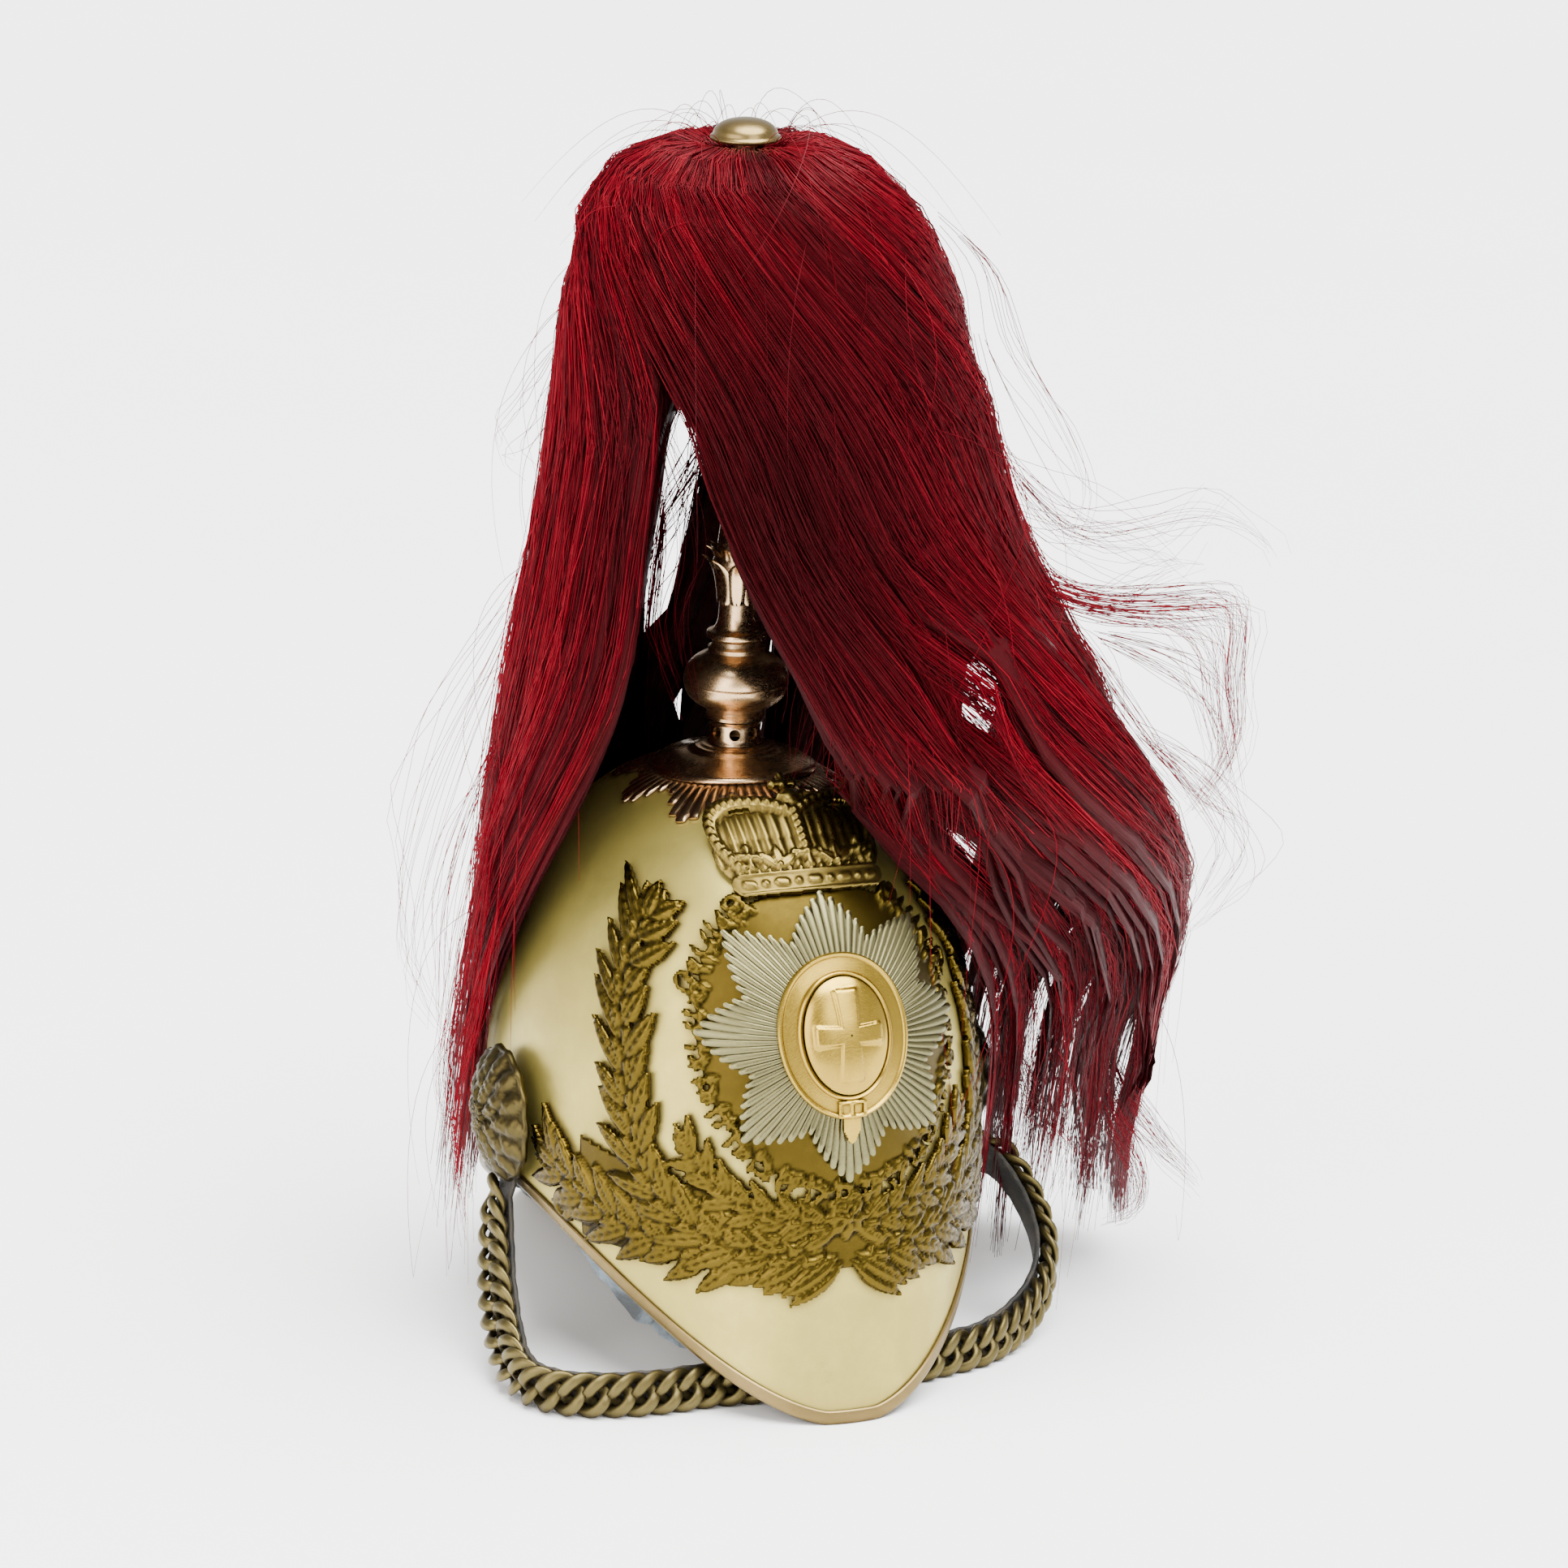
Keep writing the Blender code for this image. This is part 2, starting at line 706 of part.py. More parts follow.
def above_rim(point_angle, height):
    """A height kept clear of the binding."""
    return max(height, rim_height(point_angle) + BINDING_WIDTH + PLATE_RIM_CLEARANCE)


def backing_point(across, up, proud):
    """A point on the backing or on what is stamped in it, kept clear of the binding."""
    angle, height = plate_place(across, up)
    height = above_rim(angle, height)
    return skull_point(angle, height) + skull_normal(angle, height) * proud


def outline_point(bearing, share, proud):
    reach = outline_reach(bearing) * share
    return backing_point(reach * math.sin(bearing), PLATE_CENTRE_UP + reach * math.cos(bearing), proud)


def add_leaf(builder, across, up, bearing, length, width, proud, rise):
    """A ridged leaf: root, tip, two shoulders, a ridge and a buried keel."""
    ahead = (math.sin(bearing), math.cos(bearing))
    beside = (math.cos(bearing), -math.sin(bearing))

    def place(along, aside, out):
        spot_across = across + ahead[0] * along + beside[0] * aside
        spot_up = up + ahead[1] * along + beside[1] * aside
        return backing_point(spot_across, spot_up, out)

    root = builder.verts.new(place(0, 0, proud))
    tip = builder.verts.new(place(length, 0, proud + rise * 0.25))
    sides = [
        builder.verts.new(place(length * 0.45, width / 2 * side, proud + rise * 0.1))
        for side in (1, -1)
    ]
    ridge = builder.verts.new(place(length * 0.5, 0, proud + rise))
    keel = builder.verts.new(place(length * 0.45, 0, proud - PLATE_SHEET * 0.8))
    for one, other in ((root, sides[0]), (sides[0], tip), (tip, sides[1]), (sides[1], root)):
        builder.faces.new((one, other, ridge))
        builder.faces.new((other, one, keel))


def wreath_leaves():
    """Roots and bearings of the leaves on the wearer's left half: garland, branch and low band."""
    leaves = []
    for count in range(8):
        around = math.radians(34 + 17.5 * count)
        across = GARLAND_HALF_WIDTH * math.sin(around)
        up = PLATE_CENTRE_UP - 4 * MM + GARLAND_HALF_HEIGHT * math.cos(around)
        leaves.append((across, up, around - math.pi / 2 - 0.25, 0.72, 1.1))
    for count in range(6):
        share = count / 5
        across = PLATE_HALF_WIDTH * (0.86 - 0.24 * share**2)
        up = PLATE_CENTRE_UP + PLATE_HALF_WIDTH * (-0.52 + 0.84 * share)
        leaves.append((across, up, math.radians(38 - 30 * share), 0.95, 1.0))
    for count in range(7):
        share = count / 6
        across = PLATE_HALF_WIDTH * (0.10 + 0.98 * share)
        up = PLATE_CENTRE_UP + PLATE_HALF_WIDTH * (-0.74 + 0.03 * share)
        leaves.append((across, up, math.radians(112 - 30 * share), 1.0, 1.15))
    return leaves


def make_wreath():
    """One stamped plate: a backing with the garland and the laurel branches raised on it."""
    bearings = [2 * math.pi * place / PLATE_STATIONS - math.pi for place in range(PLATE_STATIONS)]
    shares = (0.2, 0.38, 0.55, 0.70, 0.80, 0.90, 1.0)
    grids = []
    for out in (PLATE_FACE, PLATE_GAP):
        grids.append([[outline_point(bearing, share, out) for bearing in bearings] for share in shares])
    builder = bmesh.new()
    add_shell(builder, grids[0], grids[1], wrap=True)
    item = link_mesh("wreath_plate", builder, GILT)
    leaves = bmesh.new()
    for side in (1, -1):
        for across, up, bearing, length, width in wreath_leaves():
            add_leaf(
                leaves,
                across * side,
                up,
                bearing * side,
                LEAF_LENGTH * length,
                LEAF_WIDTH * width,
                PLATE_FACE,
                PLATE_LEAF_RISE,
            )
    add_boolean(item, link_cutter("wreath_leaves", leaves), "UNION")


def oval_point(bearing, half_width, half_height, proud):
    """A point on an oval about the middle of the front plate."""
    across = half_width * math.sin(bearing)
    return plate_point(across, PLATE_CENTRE_UP + half_height * math.cos(bearing), proud)


def make_star():
    """The silver star over the backing: eight long points, fluted, rising to the middle."""
    stations = 4 * STAR_POINTS
    grids = []
    for top in (True, False):
        rows = []
        for share in (0.25, 0.5, 0.75, 1.0):
            row = []
            for station in range(stations):
                bearing = 2 * math.pi * station / stations
                swing = (0.5, 0.0, 0.5, 1.0)[(station + 3) % 4]
                reach = (STAR_VALLEY + (STAR_REACH - STAR_VALLEY) * swing) * share
                rise = STAR_RISE * (1 - share) + PLATE_SHEET
                lift = (PLATE_LEAF_RISE + FIT_GAP) * share**3
                out = STAR_BACK + lift + (rise if top else 0)
                row.append(oval_point(bearing, reach, reach, out))
            rows.append(row)
        grids.append(rows)
    builder = bmesh.new()
    add_shell(builder, grids[0], grids[1], wrap=True)
    link_mesh("plate_star", builder, SILVER)


def make_belt():
    """The oval belt round the middle, plain, with the strap's free end hanging below its buckle."""
    stations = 28
    section = (
        # inset from the outer edge in shares of the width, height in shares of the thickness
        (0.0, 0.0),
        (0.0, 0.6),
        (0.25, 1.0),
        (0.75, 1.0),
        (1.0, 0.6),
        (1.0, 0.0),
    )
    rows = []
    for place in range(stations):
        bearing = 2 * math.pi * place / stations
        row = [
            oval_point(
                bearing,
                BELT_HALF_WIDTH - BELT_WIDTH * inset,
                BELT_HALF_HEIGHT - BELT_WIDTH * inset,
                BELT_BACK + BELT_THICKNESS * rise,
            )
            for inset, rise in section
        ]
        rows.append(row + [row[0]])
    builder = bmesh.new()
    add_grid(builder, rows + [rows[0]])
    item = link_mesh("plate_belt", builder, GILT)
    tail = bmesh.new()
    root = PLATE_CENTRE_UP - BELT_HALF_HEIGHT + BELT_WIDTH * 0.4
    grids = []
    for rise in (0.7, 0.1):
        rows = []
        for drop, width in ((0, 1.0), (0.7, 1.0), (1.0, 0.3)):
            up = root - BELT_TAIL_LENGTH * drop
            half = BELT_TAIL_HALF_WIDTH * width
            rows.append([plate_point(half * side, up, BELT_BACK + BELT_THICKNESS * rise) for side in (-1, 1)])
        grids.append(rows)
    add_shell(tail, grids[0], grids[1])
    add_boolean(item, link_cutter("belt_tail", tail), "UNION")


def make_oval():
    """The domed oval inside the belt with a plain cross raised on it."""
    stations = 20
    half_width = BELT_HALF_WIDTH - BELT_WIDTH - FIT_GAP
    half_height = BELT_HALF_HEIGHT - BELT_WIDTH - FIT_GAP
    bearings = [2 * math.pi * place / stations for place in range(stations)]
    rows = []
    for share, rise in ((0.12, 0), (1.0, 0), (1.0, 0.35), (0.7, 0.75), (0.35, 0.96), (0.12, 1.0)):
        out = BELT_BACK + OVAL_RISE * rise
        wide, tall = half_width * share, half_height * share
        rows.append([oval_point(bearing, wide, tall, out) for bearing in bearings])
    builder = bmesh.new()
    add_grid(builder, rows + [rows[0]], wrap=True)
    item = link_mesh("plate_oval", builder, GILT)
    cross = bmesh.new()
    for wide, tall in ((0.62, 0.13), (0.16, 0.66)):
        grids = []
        for rise in (1.12, 0.4):
            out = BELT_BACK + OVAL_RISE * rise
            rows = []
            for up in (-1, 0, 1):
                level = PLATE_CENTRE_UP + half_height * tall * up
                rows.append([plate_point(half_width * wide * across, level, out) for across in (-1, 0, 1)])
            grids.append(rows)
        add_shell(cross, grids[0], grids[1])
    add_boolean(item, link_cutter("oval_cross", cross), "UNION")


def make_crown():
    """The crown over the star. It leaves the skull's curve towards its top and stands off it."""
    columns = (-1.0, -0.72, -0.4, 0.0, 0.4, 0.72, 1.0)
    ribs = (0.9, 0.5, 1.0, 1.25, 1.0, 0.5, 0.9)
    grids = []
    for top in (True, False):
        rows = []
        for height, width, rise in CROWN_SECTIONS:
            out = STAR_BACK + CROWN_LEAN_OFF * height**1.3
            row = []
            for column, rib in zip(columns, ribs):
                across = CROWN_HALF_WIDTH * width * column
                up = CROWN_BASE_UP + CROWN_HEIGHT * height
                row.append(plate_point(across, up, out + (CROWN_THICKNESS * rise * rib if top else 0)))
            rows.append(row)
        grids.append(rows)
    builder = bmesh.new()
    add_shell(builder, grids[0], grids[1])
    link_mesh("plate_crown", builder, GILT)


# Ears, chain, strap and lining

def make_rosette(name, side):
    """A domed flower on a post that reaches the skull. It holds the strap's end under its edge."""
    stations = 20
    shares = (
        # radius, rise, depth of the petals
        (1.00, 0.00, 0.00),
        (1.00, 0.22, 0.03),
        (0.80, 0.55, 0.06),
        (0.50, 0.84, 0.05),
        (0.30, 0.80, 0.0),
        (0.22, 1.00, 0.0),
        (0.03, 1.04, 0.0),
    )
    rows = []
    foot = plan_radius(math.pi / 2, ROSETTE_HEIGHT) + FIT_GAP
    outlines = [(0.03, foot, 0.0), (ROSETTE_POST_RADIUS / ROSETTE_RADIUS, foot, 0.0)]
    outlines.append((ROSETTE_POST_RADIUS / ROSETTE_RADIUS, ROSETTE_BACK, 0.0))
    outlines += [(radius, ROSETTE_BACK + ROSETTE_RISE * rise, lobe) for radius, rise, lobe in shares]
    for radius, out, lobe in outlines:
        row = []
        for station in range(stations):
            angle = 2 * math.pi * station / stations
            reach = ROSETTE_RADIUS * radius * (1 + lobe * math.cos(ROSETTE_PETALS * angle))
            ahead = reach * math.cos(angle) - ROSETTE_FORWARD
            row.append(Vector((side * out, ahead, ROSETTE_HEIGHT + reach * math.sin(angle))))
        rows.append(row)
    builder = bmesh.new()
    add_grid(builder, rows + [rows[0]], wrap=True)
    link_mesh(name, builder, AGED_BRASS)


def smooth_route():
    """The chain's route as one smooth curve: positions, and the bearing that its face looks to."""
    rows = [np.array(row, float) for row in CHAIN_ROUTE]
    rows = [2 * rows[0] - rows[1]] + rows + [2 * rows[-1] - rows[-2]]
    points = []
    for place in range(1, len(rows) - 2):
        before, start, end, after = rows[place - 1 : place + 3]
        for step in range(12):
            t = step / 12
            points.append(
                0.5
                * (
                    2 * start
                    + (end - before) * t
                    + (2 * before - 5 * start + 4 * end - after) * t**2
                    + (3 * start - before - 3 * end + after) * t**3
                )
            )
    points.append(rows[-2])
    return np.array(points)


def route_frames(spacing):
    """Places at equal steps along the route, each with its direction, face and width axes."""
    route = smooth_route()
    steps = np.linalg.norm(np.diff(route[:, :3], axis=0), axis=1)
    lengths = np.concatenate([[0], np.cumsum(steps)])
    count = max(2, round(lengths[-1] / spacing))
    frames = []
    for place in range(count + 1):
        at = lengths[-1] * place / count
        spot = np.array([np.interp(at, lengths, route[:, column]) for column in range(4)])
        ahead = np.array([np.interp(at + 0.5 * MM, lengths, route[:, column]) for column in range(3)])
        behind = np.array([np.interp(at - 0.5 * MM, lengths, route[:, column]) for column in range(3)])
        direction = Vector(ahead - behind).normalized()
        bearing = math.radians(spot[3])
        face = Vector((math.sin(bearing), -math.cos(bearing), 0))
        face = (face - direction * face.dot(direction)).normalized()
        frames.append((Vector(spot[:3]), direction, face, direction.cross(face)))
    return frames


def make_chain():
    """Curb links fused into one pierced band: each has its own eye, and swells between the joins."""
    frames = route_frames(CHAIN_PITCH)
    half = CHAIN_WIDTH / 2
    builder = bmesh.new()
    joins = []
    for spot, direction, face, width in frames:
        lean = direction * CHAIN_PITCH * 0.22
        corners = []
        for out in (0.32, -0.32):
            for side in (1, -1):
                edge = spot + lean * side + width * half * 0.86 * side
                corners.append(builder.verts.new(edge + face * CHAIN_THICKNESS * out))
        joins.append(corners)
    for (before, after), (left, right) in zip(zip(frames, frames[1:]), zip(joins, joins[1:])):
        add_link(builder, before, after, left, right)
    builder.faces.new((joins[0][0], joins[0][1], joins[0][3], joins[0][2]))
    builder.faces.new((joins[-1][1], joins[-1][0], joins[-1][2], joins[-1][3]))
    link_mesh("chin_chain", builder, AGED_BRASS)


def add_link(builder, before, after, left, right):
    """One link between two joins, with a slanting eye through it."""
    spot = (before[0] + after[0]) / 2
    direction = ((before[1] + after[1]) / 2).normalized()
    face = ((before[2] + after[2]) / 2).normalized()
    width = ((before[3] + after[3]) / 2).normalized()
    half = CHAIN_WIDTH / 2
    eye_outline = ((-0.10, 0.42), (0.14, 0.52), (0.26, 0.30), (0.10, -0.42), (-0.14, -0.52), (-0.26, -0.30))
    rims = []
    eyes = []
    for out in (0.5, -0.5):
        lift = face * CHAIN_THICKNESS * out
        swell = []
        for side in (1, -1):
            edge = spot + direction * CHAIN_PITCH * 0.22 * side + width * half * side
            swell.append(builder.verts.new(edge + lift))
        layer = 0 if out > 0 else 2
        rims.append((left[layer], swell[0], right[layer], right[layer + 1], swell[1], left[layer + 1]))
        eye = []
        for along, aside in eye_outline:
            edge = spot + direction * CHAIN_PITCH * along + width * half * aside
            eye.append(builder.verts.new(edge + lift * 0.7))
        eyes.append(eye)
    for place in range(6):
        onward = (place + 1) % 6
        for rim, eye in zip(rims, eyes):
            builder.faces.new((rim[place], rim[onward], eye[onward], eye[place]))
        builder.faces.new((eyes[0][place], eyes[0][onward], eyes[1][onward], eyes[1][place]))
    for place in (0, 1, 3, 4):
        builder.faces.new((rims[0][place], rims[0][place + 1], rims[1][place + 1], rims[1][place]))


def make_strap():
    """The leather behind the chain. Its ends run on under the rosettes, short of their posts."""
    behind = CHAIN_THICKNESS / 2 + FIT_GAP
    corners = ((0, 1), (0, -1), (STRAP_THICKNESS, -1), (STRAP_THICKNESS, 1))
    frames = route_frames(CHAIN_PITCH)
    rows = []
    for spot, _, face, width in frames:
        edge = width * STRAP_WIDTH / 2
        rows.append([spot - face * (behind + depth) + edge * hand for depth, hand in corners])
    ends = []
    for side, frame in ((-1, frames[0]), (1, frames[-1])):
        leaving = Vector((0, frame[0].y, frame[0].z))
        toward_post = Vector((0, -ROSETTE_FORWARD, ROSETTE_HEIGHT)) - leaving
        tuck = toward_post.length - ROSETTE_RADIUS - STRAP_END_GAP
        reach = toward_post.length - ROSETTE_POST_RADIUS - STRAP_END_GAP
        toward_post.normalize()
        beside = Vector((0, toward_post.z, -toward_post.y))
        if beside.dot(frame[3]) < 0:
            beside = -beside
        for along, half in ((tuck, STRAP_WIDTH / 2), (reach, STRAP_WIDTH / 3)):
            row = []
            for depth, hand in corners:
                spot = leaving + toward_post * along + beside * half * hand
                spot.x = side * (STRAP_INNER + STRAP_THICKNESS - depth)
                row.append(spot)
            ends.append(row)
    rows = [ends[1], ends[0]] + rows + [ends[2], ends[3]]
    builder = bmesh.new()
    verts = add_grid(builder, rows, wrap=True)
    builder.faces.new(verts[0])
    builder.faces.new(verts[-1][::-1])
    link_mesh("chin_strap", builder, LEATHER)


def make_lining():
    """A leather head band inside the skull. It hangs lower than the edge behind the peak."""
    top = BROW_HEIGHT - LINING_TOP_DROP
    ear = rim_height(math.pi / 2) + BINDING_WIDTH
    grids = []
    for depth in (0.0, LINING_THICKNESS):
        rows = []
        for share, inset in ((0.0, LINING_INSET), (0.6, LINING_INSET), (1.0, SEAT_GAP)):
            row = []
            for angle in skull_angles():
                low = LINING_LOW + (ear - LINING_LOW) * abs(math.sin(angle)) ** LINING_SAG_POWER
                if math.cos(angle) < 0:
                    low = max(low, rim_height(angle) + BINDING_WIDTH)
                height = low + (top - low) * share
                wall = skull_point(angle, height, axes_height=BROW_HEIGHT)
                inward = Vector((-wall.x, -wall.y, 0)).normalized()
                row.append(wall + inward * (SHEET + inset + depth))
            rows.append(row)
        grids.append(rows)
    builder = bmesh.new()
    add_shell(builder, grids[0], grids[1], wrap=True)
    link_mesh("lining", builder, LEATHER)


# Plume

def quarter_blend(angle, front, right, rear, left):
    """A value that passes through its four quarter values as the bearing goes round."""
    away = angle - PART_ANGLE
    total = 0.0
    for value, toward in ((front, 0), (right, -math.pi / 2), (rear, math.pi), (left, math.pi / 2)):
        total += value * max(0.0, math.cos(away - toward)) ** 2
    return total


def lock_end(share):
    """How far above its row the hair ends: locks come to points, parted by notches."""
    wave = abs(math.sin(math.pi * PLUME_LOCKS * share))
    return PLUME_NOTCH * (1 - wave)


def make_plume():
    """Hair as one body: a head round the stem, and a parted skirt of locks with pointed ends."""
    columns = 3 * PLUME_LOCKS + 1
    outer, inner = [], []
    last = len(PLUME_SECTIONS) - 1
    for index, (height, front, right, rear, left, open_right, open_left) in enumerate(PLUME_SECTIONS):
        start = PART_ANGLE + math.radians(open_left)
        sweep = 2 * math.pi - math.radians(open_left + open_right)
        slope = profile_slope(index)
        row_out, row_in = [], []
        for column in range(columns):
            share = column / (columns - 1)
            angle = start + sweep * share
            level = PLUME_TOP * height
            if index == last:
                level += lock_end(share)
            ridge = math.cos(math.pi * (2 * PLUME_LOCKS * share + 1)) * smooth_step(index / 5)
            spread = quarter_blend(angle, front, right, rear, left)
            reach = PLUME_RADIUS * spread * (1 + PLUME_LOCK_RISE * ridge)
            skull = plan_radius(angle, level - PLUME_LOW_OFF)
            if skull > 0:
                reach = max(reach, skull + PLUME_SKULL_CLEARANCE + PLUME_THICKNESS)
            bearing = Vector((math.sin(angle), -math.cos(angle), 0))
            row_out.append(bearing * max(reach, STEM_RADIUS + FIT_GAP) + Vector((0, 0, level)))
            sunk = Vector((-bearing.x * slope[0], -bearing.y * slope[0], -slope[1]))
            row_in.append(row_out[-1] + sunk * PLUME_THICKNESS)
        outer.append(row_out)
        inner.append(row_in)
    builder = bmesh.new()
    add_shell(builder, outer, inner, wrap_rows=PLUME_JOINED_ROWS)
    link_mesh("plume", builder, HAIR)


def profile_slope(index):
    """Inward and downward parts of the hair's thickness on one row: down at the head, then inward."""
    turn = min(1.0, index / 4) * math.pi / 2
    return math.sin(turn), math.cos(turn)


def centre_on_origin():
    """Stands the skull's axis so that the middle of the helmet's box is over the origin."""
    bpy.context.view_layer.update()
    graph = bpy.context.evaluated_depsgraph_get()
    low = Vector((math.inf, math.inf))
    high = Vector((-math.inf, -math.inf))
    for item in HELMET.objects:
        shape = item.evaluated_get(graph)
        mesh = shape.to_mesh()
        for vertex in mesh.vertices:
            for axis in range(2):
                low[axis] = min(low[axis], vertex.co[axis])
                high[axis] = max(high[axis], vertex.co[axis])
        shape.to_mesh_clear()
    AXIS.location = (-(low[0] + high[0]) / 2, -(low[1] + high[1]) / 2, 0)
    bpy.context.view_layer.update()


clear_scene()
HELMET = make_collection("plumed_helmet")
CUTTERS = make_collection("cutters")
AXIS = bpy.data.objects.new("skull_axis", None)
bpy.context.scene.collection.objects.link(AXIS)

SKULL_METAL = make_material("skull_metal", (0.72, 0.66, 0.50), 1.0, 0.38)
BRASS = make_material("brass", (0.62, 0.44, 0.17), 1.0, 0.32)
GILT = make_material("gilt", (0.66, 0.48, 0.15), 1.0, 0.35)
SILVER = make_material("silver", (0.80, 0.79, 0.74), 1.0, 0.3)
AGED_BRASS = make_material("aged_brass", (0.30, 0.22, 0.10), 1.0, 0.5)
LEATHER = make_material("leather", (0.03, 0.035, 0.03), 0.0, 0.6)
HAIR = make_material("hair", (0.35, 0.005, 0.02), 0.0, 0.5)
CUTTER_FINISH = make_material("cutter", (0.5, 0.5, 0.5), 0.0, 0.5)

make_skull()
make_binding()
make_base_star()
make_base_dome()
make_collar()
make_ball()
make_socket()
make_stem()
make_boss()
make_wreath()
make_star()
make_belt()
make_oval()
make_crown()
make_rosette("rosette_right", -1)
make_rosette("rosette_left", 1)
make_chain()
make_strap()
make_lining()
make_plume()
centre_on_origin()
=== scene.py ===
"""Looks of the plumed cavalry helmet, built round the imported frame.

Shapes are worked out in millimetres about the skull's upright axis and moved to the row frame when
they are meshed. Angles go round from the wearer's front (-Y), positive towards the wearer's left.
"""

import math

import bpy
import numpy as np
from mathutils import Matrix, Vector


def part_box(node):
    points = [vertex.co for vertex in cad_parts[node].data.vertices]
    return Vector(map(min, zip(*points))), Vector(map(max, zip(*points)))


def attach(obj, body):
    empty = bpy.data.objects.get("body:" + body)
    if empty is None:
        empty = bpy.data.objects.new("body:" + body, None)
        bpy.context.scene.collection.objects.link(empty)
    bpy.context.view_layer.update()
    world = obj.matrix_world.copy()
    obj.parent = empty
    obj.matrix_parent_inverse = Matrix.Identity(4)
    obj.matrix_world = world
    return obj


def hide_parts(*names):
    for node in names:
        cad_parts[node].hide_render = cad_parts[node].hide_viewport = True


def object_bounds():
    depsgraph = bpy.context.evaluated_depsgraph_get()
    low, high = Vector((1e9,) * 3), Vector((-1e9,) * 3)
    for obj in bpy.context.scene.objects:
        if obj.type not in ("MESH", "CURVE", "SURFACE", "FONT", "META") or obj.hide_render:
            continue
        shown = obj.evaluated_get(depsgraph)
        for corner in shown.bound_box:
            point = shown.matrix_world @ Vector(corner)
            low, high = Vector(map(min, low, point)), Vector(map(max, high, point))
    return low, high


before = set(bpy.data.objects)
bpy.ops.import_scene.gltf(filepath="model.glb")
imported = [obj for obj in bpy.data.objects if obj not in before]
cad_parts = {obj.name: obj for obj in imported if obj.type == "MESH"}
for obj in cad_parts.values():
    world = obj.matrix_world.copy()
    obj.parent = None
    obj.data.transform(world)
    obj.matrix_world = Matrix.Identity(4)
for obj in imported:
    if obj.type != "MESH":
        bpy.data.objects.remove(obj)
cad_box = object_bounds()

BALL_LOW, BALL_HIGH = (np.array(corner, float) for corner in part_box("ball"))
AXIS = np.array([(BALL_LOW[0] + BALL_HIGH[0]) / 2, (BALL_LOW[1] + BALL_HIGH[1]) / 2, 0.0])
RANDOM = np.random.default_rng(1815)
TAU = 2 * math.pi


# Skull surface, the same form as the solid

SKULL_HEIGHT = 227.0
HALF_WIDTH = 90.5
FRONT_DEPTH = 121.0
REAR_DEPTH = 127.0
BROW = 90.0
PEAK_FLARE = 13.0
NECK_FLARE = 53.0
TIP_PINCH = 6.5
EAR_RISE = 66.0
PEAK_LIFT = 1.0
NECK_LIFT = 1.6
PEAK_FOOT = math.radians(7)
NECK_FOOT = math.radians(12)
SHEET = 1.2


def half_axes(height):
    """Front depth, rear depth and half width at heights."""
    height = np.asarray(height, float)
    rise = np.clip((height - BROW) / (SKULL_HEIGHT - BROW), 0, 1)
    depth = np.clip(1 - rise**2.4, 0, 1) ** (1 / 2.2)
    width = np.clip(1 - rise**2.0, 0, 1) ** (1 / 2.5)
    fall = np.clip((BROW - height) / BROW, 0, 2)
    front = np.where(height >= BROW, FRONT_DEPTH * depth, FRONT_DEPTH + PEAK_FLARE * fall**1.5)
    rear = np.where(height >= BROW, REAR_DEPTH * depth, REAR_DEPTH + NECK_FLARE * fall**1.6)
    side = np.where(height >= BROW, HALF_WIDTH * width, HALF_WIDTH - TIP_PINCH * fall**2)
    return front, rear, side


def skull_point(angle, height):
    front, rear, side = half_axes(height)
    depth = np.where(np.cos(angle) >= 0, front, rear)
    level = np.broadcast_to(height, np.broadcast(angle, height).shape)
    return np.stack([side * np.sin(angle), -depth * np.cos(angle), level], -1)


def unit(vectors):
    length = np.linalg.norm(vectors, axis=-1, keepdims=True)
    return vectors / np.maximum(length, 1e-9)


def skull_normal(angle, height):
    turn, step = 0.004, 0.4
    around = skull_point(angle + turn, height) - skull_point(angle - turn, height)
    upward = skull_point(angle, height + step) - skull_point(angle, height - step)
    return unit(np.cross(around, upward))


def rim_height(angle):
    front = np.cos(angle) >= 0
    level = np.where(front, math.sin(PEAK_FOOT) ** 2, math.sin(NECK_FOOT) ** 2)
    lift = np.where(front, PEAK_LIFT, NECK_LIFT)
    rise = np.clip(np.sin(angle) ** 2 - level, 0, 1) / (1 - level)
    return lift + (EAR_RISE - lift) * rise


def plan_radius(angle, height):
    front, rear, side = half_axes(height)
    depth = np.where(np.cos(angle) >= 0, front, rear)
    across = np.sin(angle) / np.maximum(side, 1e-3)
    along = np.cos(angle) / np.maximum(depth, 1e-3)
    radius = 1 / np.hypot(across, along)
    return np.where(np.asarray(height) >= SKULL_HEIGHT, 0.0, radius)


def around(radius, angle, level):
    """Points at a distance from the axis, at an angle from the front and at a level."""
    x, y, level = np.broadcast_arrays(radius * np.sin(angle), -radius * np.cos(angle), level)
    return np.stack([x, y, level], -1)


def dome_height(x, y):
    """Height of the dome above points in plan."""
    low = np.full(np.shape(x), BROW)
    high = np.full(np.shape(x), SKULL_HEIGHT)
    for _ in range(40):
        middle = (low + high) / 2
        front, rear, side = half_axes(middle)
        depth = np.where(y <= 0, front, rear)
        inside = (x / np.maximum(side, 1e-6)) ** 2 + (y / np.maximum(depth, 1e-6)) ** 2 <= 1
        low = np.where(inside, middle, low)
        high = np.where(inside, high, middle)
    return low


PROFILE_HEIGHTS = (SKULL_HEIGHT - 0.5) * np.sin(np.linspace(0, math.pi / 2, 400))
PROFILE_POINTS = skull_point(np.zeros(400), PROFILE_HEIGHTS)
PROFILE_STEPS = np.linalg.norm(np.diff(PROFILE_POINTS, axis=0), axis=1)
PROFILE_LENGTHS = np.concatenate([[0], np.cumsum(PROFILE_STEPS)])


